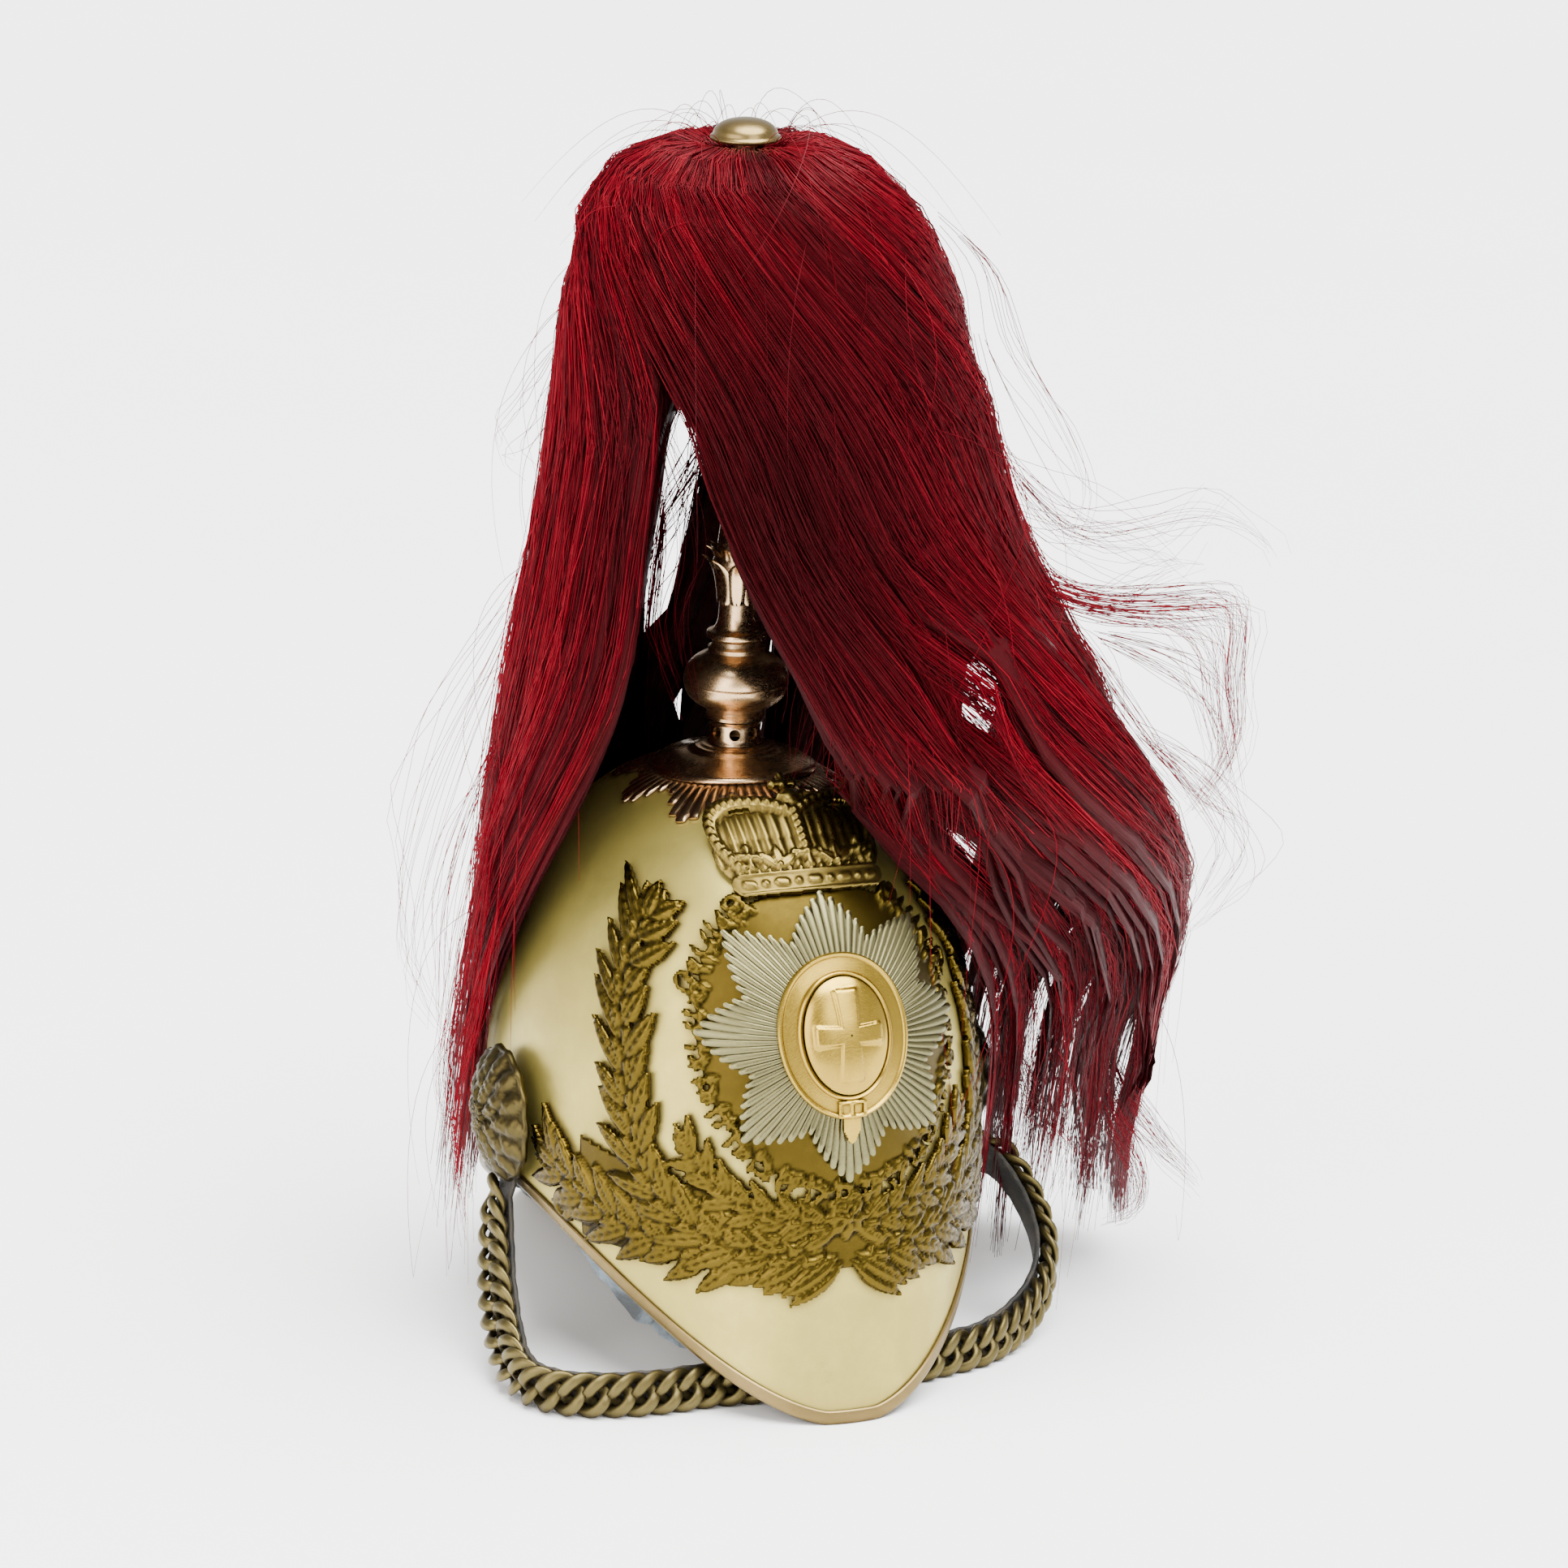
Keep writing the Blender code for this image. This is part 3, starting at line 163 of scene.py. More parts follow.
def plate_place(across, up):
    """Skull angle and height of points given across the skull and up its front."""
    across, up = np.broadcast_arrays(np.asarray(across, float), np.asarray(up, float))
    height = np.interp(up, PROFILE_LENGTHS, PROFILE_HEIGHTS)
    front, _, side = half_axes(height)
    angle = np.zeros(across.shape)
    steps = 30
    for _ in range(steps):
        rate = np.hypot(side * np.cos(angle), front * np.sin(angle))
        angle = angle + across / steps / np.maximum(rate, 1e-6)
    return angle, height


def plate_point(across, up, proud):
    angle, height = plate_place(across, up)
    return skull_point(angle, height) + skull_normal(angle, height) * np.asarray(proud)[..., None]


def smooth(share):
    share = np.clip(share, 0, 1)
    return share * share * (3 - 2 * share)


def through(rows, per_step):
    """Places and values of a smooth curve through rows of numbers."""
    rows = np.asarray(rows, float)
    ends = np.concatenate([[2 * rows[0] - rows[1]], rows, [2 * rows[-1] - rows[-2]]])
    share = np.linspace(0, 1, per_step, endpoint=False)[:, None]
    places, values = [], []
    for place in range(len(rows) - 1):
        a, b, c, d = ends[place : place + 4]
        bend = (2 * a - 5 * b + 4 * c - d) * share**2 + (3 * b - a - 3 * c + d) * share**3
        values.append(0.5 * (2 * b + (c - a) * share + bend))
        places.append(place + share[:, 0])
    return np.concatenate([*places, [len(rows) - 1]]), np.concatenate([*values, rows[-1:]])


def lengths_of(points):
    """How far along a path each of its points lies."""
    steps = np.linalg.norm(np.diff(points, axis=0), axis=1)
    return np.concatenate([[0], np.cumsum(steps)])


def read_at(at, lengths, values):
    """Columns of values read at distances along a path."""
    return np.stack([np.interp(at, lengths, column) for column in values.T], 1)


# Meshing

def placed(name, data):
    item = bpy.data.objects.new(name, data)
    bpy.context.scene.collection.objects.link(item)
    return item


def make_object(name, points, faces, material, replaces=(), attributes=None, sharp=38):
    """An object from points in millimetres about the axis. Loose points are dropped."""
    points = np.asarray(points, float).reshape(-1, 3)
    used = np.zeros(len(points), bool)
    for group in faces:
        used[np.asarray(group).ravel()] = True
    index = np.cumsum(used) - 1
    groups = [index[np.asarray(group)] for group in faces]
    points = points[used] * 0.001 + AXIS
    volume = 0.0
    for group in groups:
        corners = points[group] - points[0]
        for place in range(1, group.shape[1] - 1):
            volume += np.linalg.det(corners[:, [0, place, place + 1]]).sum()
    if volume < 0:
        groups = [group[:, ::-1] for group in groups]
    mesh = bpy.data.meshes.new(name)
    mesh.from_pydata(points.tolist(), [], [face for group in groups for face in group.tolist()])
    for key, values in (attributes or {}).items():
        flat = np.asarray(values, np.float32).reshape(len(used), -1)[used]
        kind, field = ("FLOAT", "value") if flat.shape[1] == 1 else ("FLOAT_VECTOR", "vector")
        layer = mesh.attributes.new(key, kind, "POINT")
        layer.data.foreach_set(field, flat.ravel())
    mesh.materials.append(material)
    mesh.shade_smooth()
    if sharp:
        mesh.set_sharp_from_angle(angle=math.radians(sharp))
    item = placed(name, mesh)
    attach(item, "root")
    if replaces:
        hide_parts(*replaces)


def shell(front, back, cells=None, wrap=False):
    """Points and faces of a closed body between two grids, with faces only on the chosen cells."""
    rows, columns = front.shape[:2]
    across = columns if wrap else columns - 1
    if cells is None:
        cells = np.ones((rows - 1, across), bool)
    row, column = np.nonzero(cells)
    following = (column + 1) % columns
    ring = [
        row * columns + column,
        row * columns + following,
        (row + 1) * columns + following,
        (row + 1) * columns + column,
    ]
    count = rows * columns
    quads = [np.stack(ring, 1), np.stack([part + count for part in ring[::-1]], 1)]
    padded = np.zeros((rows + 1, across + 2), bool)
    padded[1:-1, 1:-1] = cells
    if wrap:
        padded[:, 0] = padded[:, -2]
        padded[:, -1] = padded[:, 1]
    neighbours = (
        padded[row, column + 1],
        padded[row + 1, column + 2],
        padded[row + 2, column + 1],
        padded[row + 1, column],
    )
    for side in range(4):
        edge = ~neighbours[side]
        start, end = ring[side][edge], ring[(side + 1) % 4][edge]
        quads.append(np.stack([end, start, start + count, end + count], 1))
    points = np.concatenate([front.reshape(-1, 3), back.reshape(-1, 3)])
    return points, np.concatenate(quads)


def loft(sections, wrap_rows=False):
    """Points and faces of closed sections joined in a row, with flat ends or joined end to end."""
    rows, columns = sections.shape[:2]
    grid = np.arange(rows * columns).reshape(rows, columns)
    if wrap_rows:
        grid = np.concatenate([grid, grid[:1]])
    closed = np.concatenate([grid, grid[:, :1]], 1)
    quads = np.stack(
        [closed[:-1, :-1], closed[:-1, 1:], closed[1:, 1:], closed[1:, :-1]], -1
    ).reshape(-1, 4)
    faces = [quads]
    points = sections.reshape(-1, 3)
    if not wrap_rows:
        middle = np.stack([sections[0].mean(0), sections[-1].mean(0)])
        for place, ring in ((0, grid[0]), (1, grid[-1][::-1])):
            onward = np.roll(ring, -1)
            centre = np.full(columns, len(points) + place)
            faces.append(np.stack([onward, ring, centre], 1))
        points = np.concatenate([points, middle])
    return points, faces


def full_turn(stations):
    return np.linspace(0, TAU, stations, endpoint=False)


def turned(profile, sides):
    """Points and faces of a closed profile of radius and height turned about the axis."""
    profile = np.asarray(profile, float)
    sections = around(profile[None, :, 0], full_turn(sides)[:, None], profile[None, :, 1])
    return loft(sections, wrap_rows=True)


def round_profile(points, per_corner, tightness=0.3):
    """A profile with its corners rounded off."""
    points = np.asarray(points, float)
    result = [points[0]]
    for before, corner, after in zip(points, points[1:], points[2:]):
        start = corner + (before - corner) * tightness
        end = corner + (after - corner) * tightness
        for t in np.linspace(0, 1, per_corner):
            result.append((1 - t) ** 2 * start + 2 * t * (1 - t) * corner + t**2 * end)
    result.append(points[-1])
    return np.array(result)


def joined(parts):
    """Several bodies as one list of points and faces."""
    points, faces, offset = [], [], 0
    for part_points, part_faces in parts:
        groups = part_faces if isinstance(part_faces, list) else [part_faces]
        points.append(part_points)
        faces += [group + offset for group in groups]
        offset += len(part_points)
    by_size = {}
    for group in faces:
        by_size.setdefault(group.shape[1], []).append(group)
    return np.concatenate(points), [np.concatenate(groups) for groups in by_size.values()]


# Materials

def new_material(name):
    material = bpy.data.materials.new(name)
    material.use_nodes = True
    tree = material.node_tree
    return material, tree, tree.nodes["Principled BSDF"]


def node(tree, kind, **inputs):
    made = tree.nodes.new(kind)
    for key, value in inputs.items():
        target = made.inputs[key.replace("_", " ")]
        if isinstance(value, bpy.types.NodeSocket):
            tree.links.new(value, target)
        else:
            target.default_value = value
    return made


def coordinates(tree):
    return tree.nodes.new("ShaderNodeTexCoord").outputs["Object"]


def noise(tree, vector, scale, detail=4.0, roughness=0.55, distortion=0.0):
    made = node(
        tree, "ShaderNodeTexNoise", Vector=vector, Scale=scale, Detail=detail, Roughness=roughness,
        Distortion=distortion,
    )
    return made.outputs["Fac"]


def stretched(tree, vector, scale):
    made = node(tree, "ShaderNodeMapping", Vector=vector)
    made.inputs["Scale"].default_value = scale
    return made.outputs["Vector"]


def ramp(tree, value, stops):
    made = node(tree, "ShaderNodeValToRGB", Fac=value)
    elements = made.color_ramp.elements
    while len(elements) < len(stops):
        elements.new(0.5)
    for element, (position, colour) in zip(elements, stops):
        element.position = position
        element.color = (*colour, 1) if len(colour) == 3 else colour
    return made.outputs["Color"]


def grey(value):
    return (value, value, value)


def mix(tree, factor, first, second):
    made = tree.nodes.new("ShaderNodeMix")
    made.data_type = "RGBA"
    for key, value in (("Factor", factor), ("A", first), ("B", second)):
        target = next(
            socket
            for socket in made.inputs
            if socket.name == key and (socket.type == "RGBA" or key == "Factor") and socket.enabled
        )
        if isinstance(value, bpy.types.NodeSocket):
            tree.links.new(value, target)
        elif isinstance(value, tuple) and len(value) == 3:
            target.default_value = (*value, 1)
        else:
            target.default_value = value
    return next(socket for socket in made.outputs if socket.type == "RGBA")


def maths(tree, operation, first, second):
    made = tree.nodes.new("ShaderNodeMath")
    made.operation = operation
    for place, value in enumerate((first, second)):
        if isinstance(value, bpy.types.NodeSocket):
            tree.links.new(value, made.inputs[place])
        else:
            made.inputs[place].default_value = value
    return made.outputs[0]


def remap(tree, value, low, high, to_low, to_high):
    made = node(tree, "ShaderNodeMapRange", Value=value)
    for key, number in (("From Min", low), ("From Max", high), ("To Min", to_low), ("To Max", to_high)):
        made.inputs[key].default_value = number
    return made.outputs[0]


def bump(tree, shader, height, distance, strength=1.0, normal=None):
    made = node(tree, "ShaderNodeBump", Height=height, Distance=distance, Strength=strength)
    if normal is not None:
        tree.links.new(normal, made.inputs["Normal"])
    tree.links.new(made.outputs["Normal"], shader.inputs["Normal"])
    return made.outputs["Normal"]


def attribute(tree, name, output="Fac"):
    made = tree.nodes.new("ShaderNodeAttribute")
    made.attribute_name = name
    return made.outputs[output]


def worn_metal(
    name, bright, dark, grime_and_shade, roughness, tarnish=0.5, dents=0.0004, marked=False, scale=1.0, metallic=1.0
):
    """Metal with tarnish clouds, fine scratches, soft dents, and soiling with painted shade in its
    hollows.

    Where marked is set, the mesh's own attribute says where its hollows are.
    """
    material, tree, shader = new_material(name)
    place = coordinates(tree)
    clouds = noise(tree, place, 22 * scale, 3.0, 0.6, 0.4)
    specks = noise(tree, place, 260 * scale, 3.0, 0.7)
    scratches = noise(tree, stretched(tree, place, (60, 900, 140)), 6, 2.0, 0.6)
    cloudy = ramp(tree, clouds, [(0.35, grey(0)), (0.68, grey(1))])
    colour = mix(tree, maths(tree, "MULTIPLY", cloudy, tarnish), bright, dark)
    speckle = ramp(tree, specks, [(0.42, grey(1)), (0.62, grey(0))])
    colour = mix(tree, maths(tree, "MULTIPLY", speckle, 0.25), colour, dark)
    rough = remap(tree, clouds, 0.3, 0.75, roughness * 0.75, roughness * 1.5)
    rough = maths(tree, "ADD", rough, remap(tree, scratches, 0.3, 0.7, -0.03, 0.06))
    if marked:
        depth = attribute(tree, "hollow")
    else:
        shade = node(tree, "ShaderNodeAmbientOcclusion", Distance=0.004)
        shade.samples = 2
        depth = remap(tree, shade.outputs["AO"], 0.35, 0.9, 1.0, 0.0)
    # The hollows are darkened: soiling with painted shade, from the occlusion or from the mesh's hollow
    # attribute.
    dirt_and_shade_mask = maths(tree, "MULTIPLY", depth, remap(tree, specks, 0.3, 0.6, 0.6, 1.0))
    colour = mix(tree, dirt_and_shade_mask, colour, grime_and_shade)
    rough = maths(tree, "ADD", rough, maths(tree, "MULTIPLY", dirt_and_shade_mask, 0.22))
    tree.links.new(colour, shader.inputs["Base Color"])
    tree.links.new(rough, shader.inputs["Roughness"])
    shader.inputs["Metallic"].default_value = metallic
    first = bump(tree, shader, noise(tree, place, 34 * scale, 2.0), dents, 0.6)
    bump(tree, shader, maths(tree, "ADD", scratches, specks), 0.00004, 0.5, first)
    return material


# A hazy, hand-polished surface, duller than a mirror
SKULL_METAL = worn_metal(
    "pale_metal", bright=(0.47, 0.39, 0.095), dark=(0.36, 0.29, 0.068), grime_and_shade=(0.12, 0.085, 0.03),
    roughness=0.34, tarnish=0.7, dents=0.0007, scale=0.8, metallic=0.82,
)
BRASS = worn_metal(
    "warm_brass", bright=(0.74, 0.50, 0.28), dark=(0.52, 0.32, 0.15), grime_and_shade=(0.10, 0.05, 0.02),
    roughness=0.22, tarnish=0.6,
)
# A brighter copy of the gilt for the crown: painted light against the hair's shadow on it.
CROWN_GILT_PAINTED_LIGHT = worn_metal(
    "crown_gilt_painted_light", bright=(0.20, 0.142, 0.034), dark=(0.14, 0.10, 0.023), grime_and_shade=(0.03, 0.02, 0.005),
    roughness=0.28, tarnish=0.6, dents=0.0002, marked=True,
)
GILT = worn_metal(
    "gilt_relief", bright=(0.086, 0.058, 0.0088), dark=(0.058, 0.040, 0.0062),
    grime_and_shade=(0.007, 0.005, 0.0015), roughness=0.24, tarnish=0.6, dents=0.0002, marked=True,
)
GILT_PLAIN = worn_metal(
    "gilt_plain", bright=(0.44, 0.295, 0.04), dark=(0.32, 0.205, 0.028), grime_and_shade=(0.05, 0.03, 0.006),
    roughness=0.22,
)
SILVER = worn_metal(
    "worn_silver", bright=(0.175, 0.16, 0.074), dark=(0.122, 0.11, 0.05), grime_and_shade=(0.010, 0.007, 0.003),
    roughness=0.26, dents=0.0001, marked=True,
)
AGED = worn_metal(
    "aged_brass", bright=(0.14, 0.112, 0.043), dark=(0.088, 0.068, 0.025), grime_and_shade=(0.018, 0.014, 0.007),
    roughness=0.36, tarnish=0.7,
)
ROSETTE_BRASS = worn_metal(
    "rosette_brass", bright=(0.070, 0.054, 0.019), dark=(0.046, 0.035, 0.012),
    grime_and_shade=(0.008, 0.006, 0.003), roughness=0.34, tarnish=0.7, marked=True,
)
TRIM = worn_metal(
    "edge_brass", bright=(0.22, 0.155, 0.06), dark=(0.14, 0.10, 0.035), grime_and_shade=(0.05, 0.03, 0.01),
    roughness=0.3, tarnish=0.7,
)


def leather_material(name, dark, worn_and_sheen, wear_and_sheen, roughness):
    material, tree, shader = new_material(name)
    place = coordinates(tree)
    grain = node(tree, "ShaderNodeTexVoronoi", Vector=place, Scale=900.0)
    grain.feature = "DISTANCE_TO_EDGE"
    pebble = ramp(tree, grain.outputs["Distance"], [(0.0, grey(0)), (0.25, grey(1))])
    patches = noise(tree, place, 60, 6.0, 0.65, 0.6)
    creases = noise(tree, stretched(tree, place, (40, 40, 160)), 3, 5.0, 0.6, 1.2)
    patchy = ramp(tree, patches, [(0.45, grey(0)), (0.66, grey(1))])
    colour = mix(tree, maths(tree, "MULTIPLY", patchy, wear_and_sheen), dark, worn_and_sheen)
    deepest = tuple(part * 0.5 for part in dark)
    colour = mix(tree, maths(tree, "MULTIPLY", creases, 0.35), colour, deepest)
    rough = remap(tree, patches, 0.3, 0.7, roughness, roughness + 0.2)
    tree.links.new(colour, shader.inputs["Base Color"])
    tree.links.new(rough, shader.inputs["Roughness"])
    first = bump(tree, shader, creases, 0.0006, 0.7)
    bump(tree, shader, pebble, 0.00012, 0.6, first)
    return material


LEATHER = leather_material("black_leather", (0.012, 0.011, 0.009), (0.10, 0.08, 0.05), 0.5, 0.6)
# The lining's blue-grey patches stand for wear and a painted sheen on the dark leather.
LINING_LEATHER = leather_material(
    "lining_leather", (0.030, 0.036, 0.040), (0.20, 0.26, 0.30), 0.95, 0.5
)


def hair_material(name, core, body, tip, ridged=False):
    """Dyed horsehair: a tint for each strand, which also carries painted shade and painted light, streaks
    along it, and a soft gloss.
    """
    material, tree, shader = new_material(name)
    tint = attribute(tree, "tint")
    along = attribute(tree, "strand", "Vector")
    streaks = noise(tree, stretched(tree, along, (1.0, 0.012, 1.0)), 1.6, 3.0, 0.7)
    colour = ramp(tree, tint, [(0.0, core), (0.5, body), (1.0, tip)])
    colour = mix(tree, remap(tree, streaks, 0.35, 0.65, 0.55, 0.0), colour, core)
    tree.links.new(colour, shader.inputs["Base Color"])
    tree.links.new(remap(tree, streaks, 0.3, 0.7, 0.5, 0.36), shader.inputs["Roughness"])
    shader.inputs["Specular IOR Level"].default_value = 0.18
    shader.inputs["Specular Tint"].default_value = (1.0, 0.3, 0.3, 1)
    if ridged:
        bump(tree, shader, streaks, 0.0009, 0.8)
    return material


# Tint colours from darkest to brightest; the darkest also gives the painted shade deep in the plume.
CRIMSON = (0.006, 0.0, 0.0005), (0.062, 0.0004, 0.0035), (0.21, 0.0015, 0.010)
HAIR = hair_material("crimson_hair", *CRIMSON)
LOCK_HAIR = hair_material("crimson_locks", *CRIMSON, ridged=True)


# Camera, stage and light

AZIMUTH = math.radians(-22)
ELEVATION = math.radians(15.5)
ROLL = math.radians(1.1)
DISTANCE = 3000.0
PIXELS_PER_MM = 3.17
PHOTO = 1932
SENSOR = 36.0
# Where the camera aims: the skull's crown, and how far beside and below it, in the photo's pixels
AIM_LEVEL = 224.0
AIM_RIGHT = 61
AIM_DOWN = 21
LIGHTS_AIM = Vector((0, 0, 0.2))
FLOOR_REACH = 14.0


def camera_axes():
    back = np.array(
        [
            math.sin(AZIMUTH) * math.cos(ELEVATION),
            -math.cos(AZIMUTH) * math.cos(ELEVATION),
            math.sin(ELEVATION),
        ]
    )
    level = np.array([math.cos(AZIMUTH), math.sin(AZIMUTH), 0.0])
    upward = np.cross(back, level)
    right = level * math.cos(ROLL) + upward * math.sin(ROLL)
    return right, np.cross(back, right), back


RIGHT, UPWARD, BACK = camera_axes()
AIM = np.array([0.0, 0.0, AIM_LEVEL]) + (RIGHT * AIM_RIGHT - UPWARD * AIM_DOWN) / PIXELS_PER_MM


def seen_at(pixel_x, pixel_y, toward=0.0):
    """The point, about the axis, that the camera sees at a pixel, at a distance in front of it."""
    scale = (DISTANCE - toward) / DISTANCE / PIXELS_PER_MM
    across = (np.asarray(pixel_x, float) - PHOTO / 2) * scale
    upward = (PHOTO / 2 - np.asarray(pixel_y, float)) * scale
    toward = np.broadcast_to(toward, across.shape)
    return AIM + across[..., None] * RIGHT + upward[..., None] * UPWARD + toward[..., None] * BACK


def pixel_of(points):
    """Where the camera sees points that are given about the axis."""
    away = points - AIM
    scale = PIXELS_PER_MM * DISTANCE / (DISTANCE - away @ BACK)
    return PHOTO / 2 + away @ RIGHT * scale, PHOTO / 2 - away @ UPWARD * scale


def add_camera():
    data = bpy.data.cameras.new("camera")
    data.sensor_width = SENSOR
    data.lens = SENSOR * PIXELS_PER_MM * DISTANCE / PHOTO
    data.clip_end = 100
    item = placed("camera", data)
    place = (AIM + BACK * DISTANCE) * 0.001 + AXIS
    turn = Matrix([RIGHT, UPWARD, BACK]).transposed().to_4x4()
    item.matrix_world = Matrix.Translation(Vector(place)) @ turn
    bpy.context.scene.camera = item


def add_area(name, place, size, power, colour=(1, 1, 1)):
    data = bpy.data.lights.new(name, "AREA")
    data.shape = "RECTANGLE"
    data.size, data.size_y = size
    data.energy = power
    data.color = colour
    item = placed(name, data)
    item.location = place
    aim = LIGHTS_AIM - Vector(place)
    item.rotation_euler = aim.to_track_quat("-Z", "Y").to_euler()


def add_sun(name, toward, power, spread):
    """A broad, even light from one side of the sky."""
    data = bpy.data.lights.new(name, "SUN")
    data.energy = power
    data.angle = math.radians(spread)
    item = placed(name, data)
    item.rotation_euler = Vector(toward).to_track_quat("Z", "Y").to_euler()


def add_world():
    """A pale studio that is brightest at the horizon and overhead."""
    world = bpy.data.worlds.new("studio")
    world.use_nodes = True
    tree = world.node_tree
    background = tree.nodes["Background"]
    direction = tree.nodes.new("ShaderNodeTexCoord").outputs["Generated"]
    split = tree.nodes.new("ShaderNodeSeparateXYZ")
    tree.links.new(direction, split.inputs[0])
    sky = ramp(
        tree,
        remap(tree, split.outputs["Z"], 0.0, 1.0, 0.0, 1.0),
        [
            (0.0, grey(1.0)), (0.25, grey(0.9)), (0.45, (0.62, 0.61, 0.56)),
            (0.7, (0.5, 0.49, 0.45)), (1.0, grey(0.85)),
        ],
    )
    tree.links.new(sky, background.inputs["Color"])
    background.inputs["Strength"].default_value = 1.35
    bpy.context.scene.world = world


def add_stage():
    material, tree, shader = new_material("pale_floor")
    place = coordinates(tree)
    shades = [(0.3, (0.90, 0.905, 0.915)), (0.7, (0.93, 0.93, 0.935))]
    tone = ramp(tree, noise(tree, place, 3.0, 1.0), shades)
    rough = remap(tree, noise(tree, place, 60.0, 1.0), 0.3, 0.7, 0.75, 0.9)
    tree.links.new(tone, shader.inputs["Base Color"])
    tree.links.new(rough, shader.inputs["Roughness"])
    mesh = bpy.data.meshes.new("floor")
    reach = FLOOR_REACH
    corners = [(-reach, -reach, 0), (reach, -reach, 0), (reach, reach, 0), (-reach, reach, 0)]
    mesh.from_pydata(corners, [], [(0, 1, 2, 3)])
    mesh.materials.append(material)
    placed("floor", mesh)


add_camera()
add_world()
add_stage()
add_sun("sky_light", (0.15, -0.2, 1.0), 13.0, 60)
add_area("left_panel", (-2.1, -1.2, 1.1), (2.2, 2.0), 88, (1.0, 0.95, 0.92))
add_area("front_panel", (0.5, -2.6, 1.7), (1.6, 1.2), 36)


# Skull and binding

VENT_RADIUS = 12
CREASE_ANGLE = 0.05
CREASE_LEVEL = 28
CREASE_DEPTH = 0.35


def build_skull():
    """The bowl from its rim to the round vent hole at the top, with one short crease in the peak."""
    stations, low_rows, high_rows = 180, 14, 32
    angle = full_turn(stations)
    rim = rim_height(angle)
    last = (1 - (VENT_RADIUS / HALF_WIDTH) ** 2.5) ** 0.5
    rows = [rim + (BROW - rim) * row / low_rows for row in range(low_rows)]
    for row in range(high_rows + 1):
        rise = math.sin(math.asin(last) * row / high_rows)
        rows.append(np.full(stations, BROW + (SKULL_HEIGHT - BROW) * rise))
    heights = np.array(rows)
    turns = np.broadcast_to(angle, heights.shape)
    outer = skull_point(turns, heights)
    normal = skull_normal(turns, heights)
    crease = np.exp(-((turns - CREASE_ANGLE) / 0.012) ** 2)
    crease = crease * np.exp(-((heights - CREASE_LEVEL) / 14) ** 2)
    outer = outer - normal * (CREASE_DEPTH * crease)[..., None]
    points, quads = shell(outer, outer - normal * SHEET, wrap=True)
    make_object("skull_bowl", points, [quads], SKULL_METAL, ("skull",))


def build_binding():
    """A folded strip with rounded edges, cut level where the helmet stands."""
    angle = full_turn(240)
    rim = rim_height(angle)
    place = skull_point(angle, rim)
    step = 0.01
    ahead, behind = angle + step, angle - step
    along = skull_point(ahead, rim_height(ahead)) - skull_point(behind, rim_height(behind))
    normal = skull_normal(angle, rim)
    down = unit(np.cross(normal, unit(along)))
    down = np.where(down[:, 2:] > 0, -down, down)
    gap, sheet, fold, width = 0.3, 1.0, 0.3, 4.2
    outer, inner = gap, -SHEET - gap
    middle = (outer + inner) / 2
    half = (outer - inner) / 2 + sheet
    bevel, straight = 0.5, -0.6
    corners = [
        (outer + sheet * 0.55, -width), (outer + sheet, bevel - width), (outer + sheet, straight)
    ]
    for turn in np.linspace(0, math.pi, 9)[1:-1]:
        drop = straight + (fold + sheet - straight) * math.sin(turn)
        corners.append((middle + half * math.cos(turn), drop))
    corners += [
        (inner - sheet, straight), (inner - sheet, bevel - width), (inner - sheet * 0.55, -width)
    ]
    corners += [(inner, -width), (inner, fold), (outer, fold), (outer, -width)]
    corners = np.array(corners)
    sections = (
        place[:, None]
        + normal[:, None] * corners[None, :, :1]
        + down[:, None] * corners[None, :, 1:]
    )
    sections[..., 2] = np.maximum(sections[..., 2], 0.0)
    points, faces = loft(sections, wrap_rows=True)
    make_object("edge_binding", points, faces, TRIM, ("rim_binding",))


build_skull()
build_binding()


# Relief: heights stamped on a grid

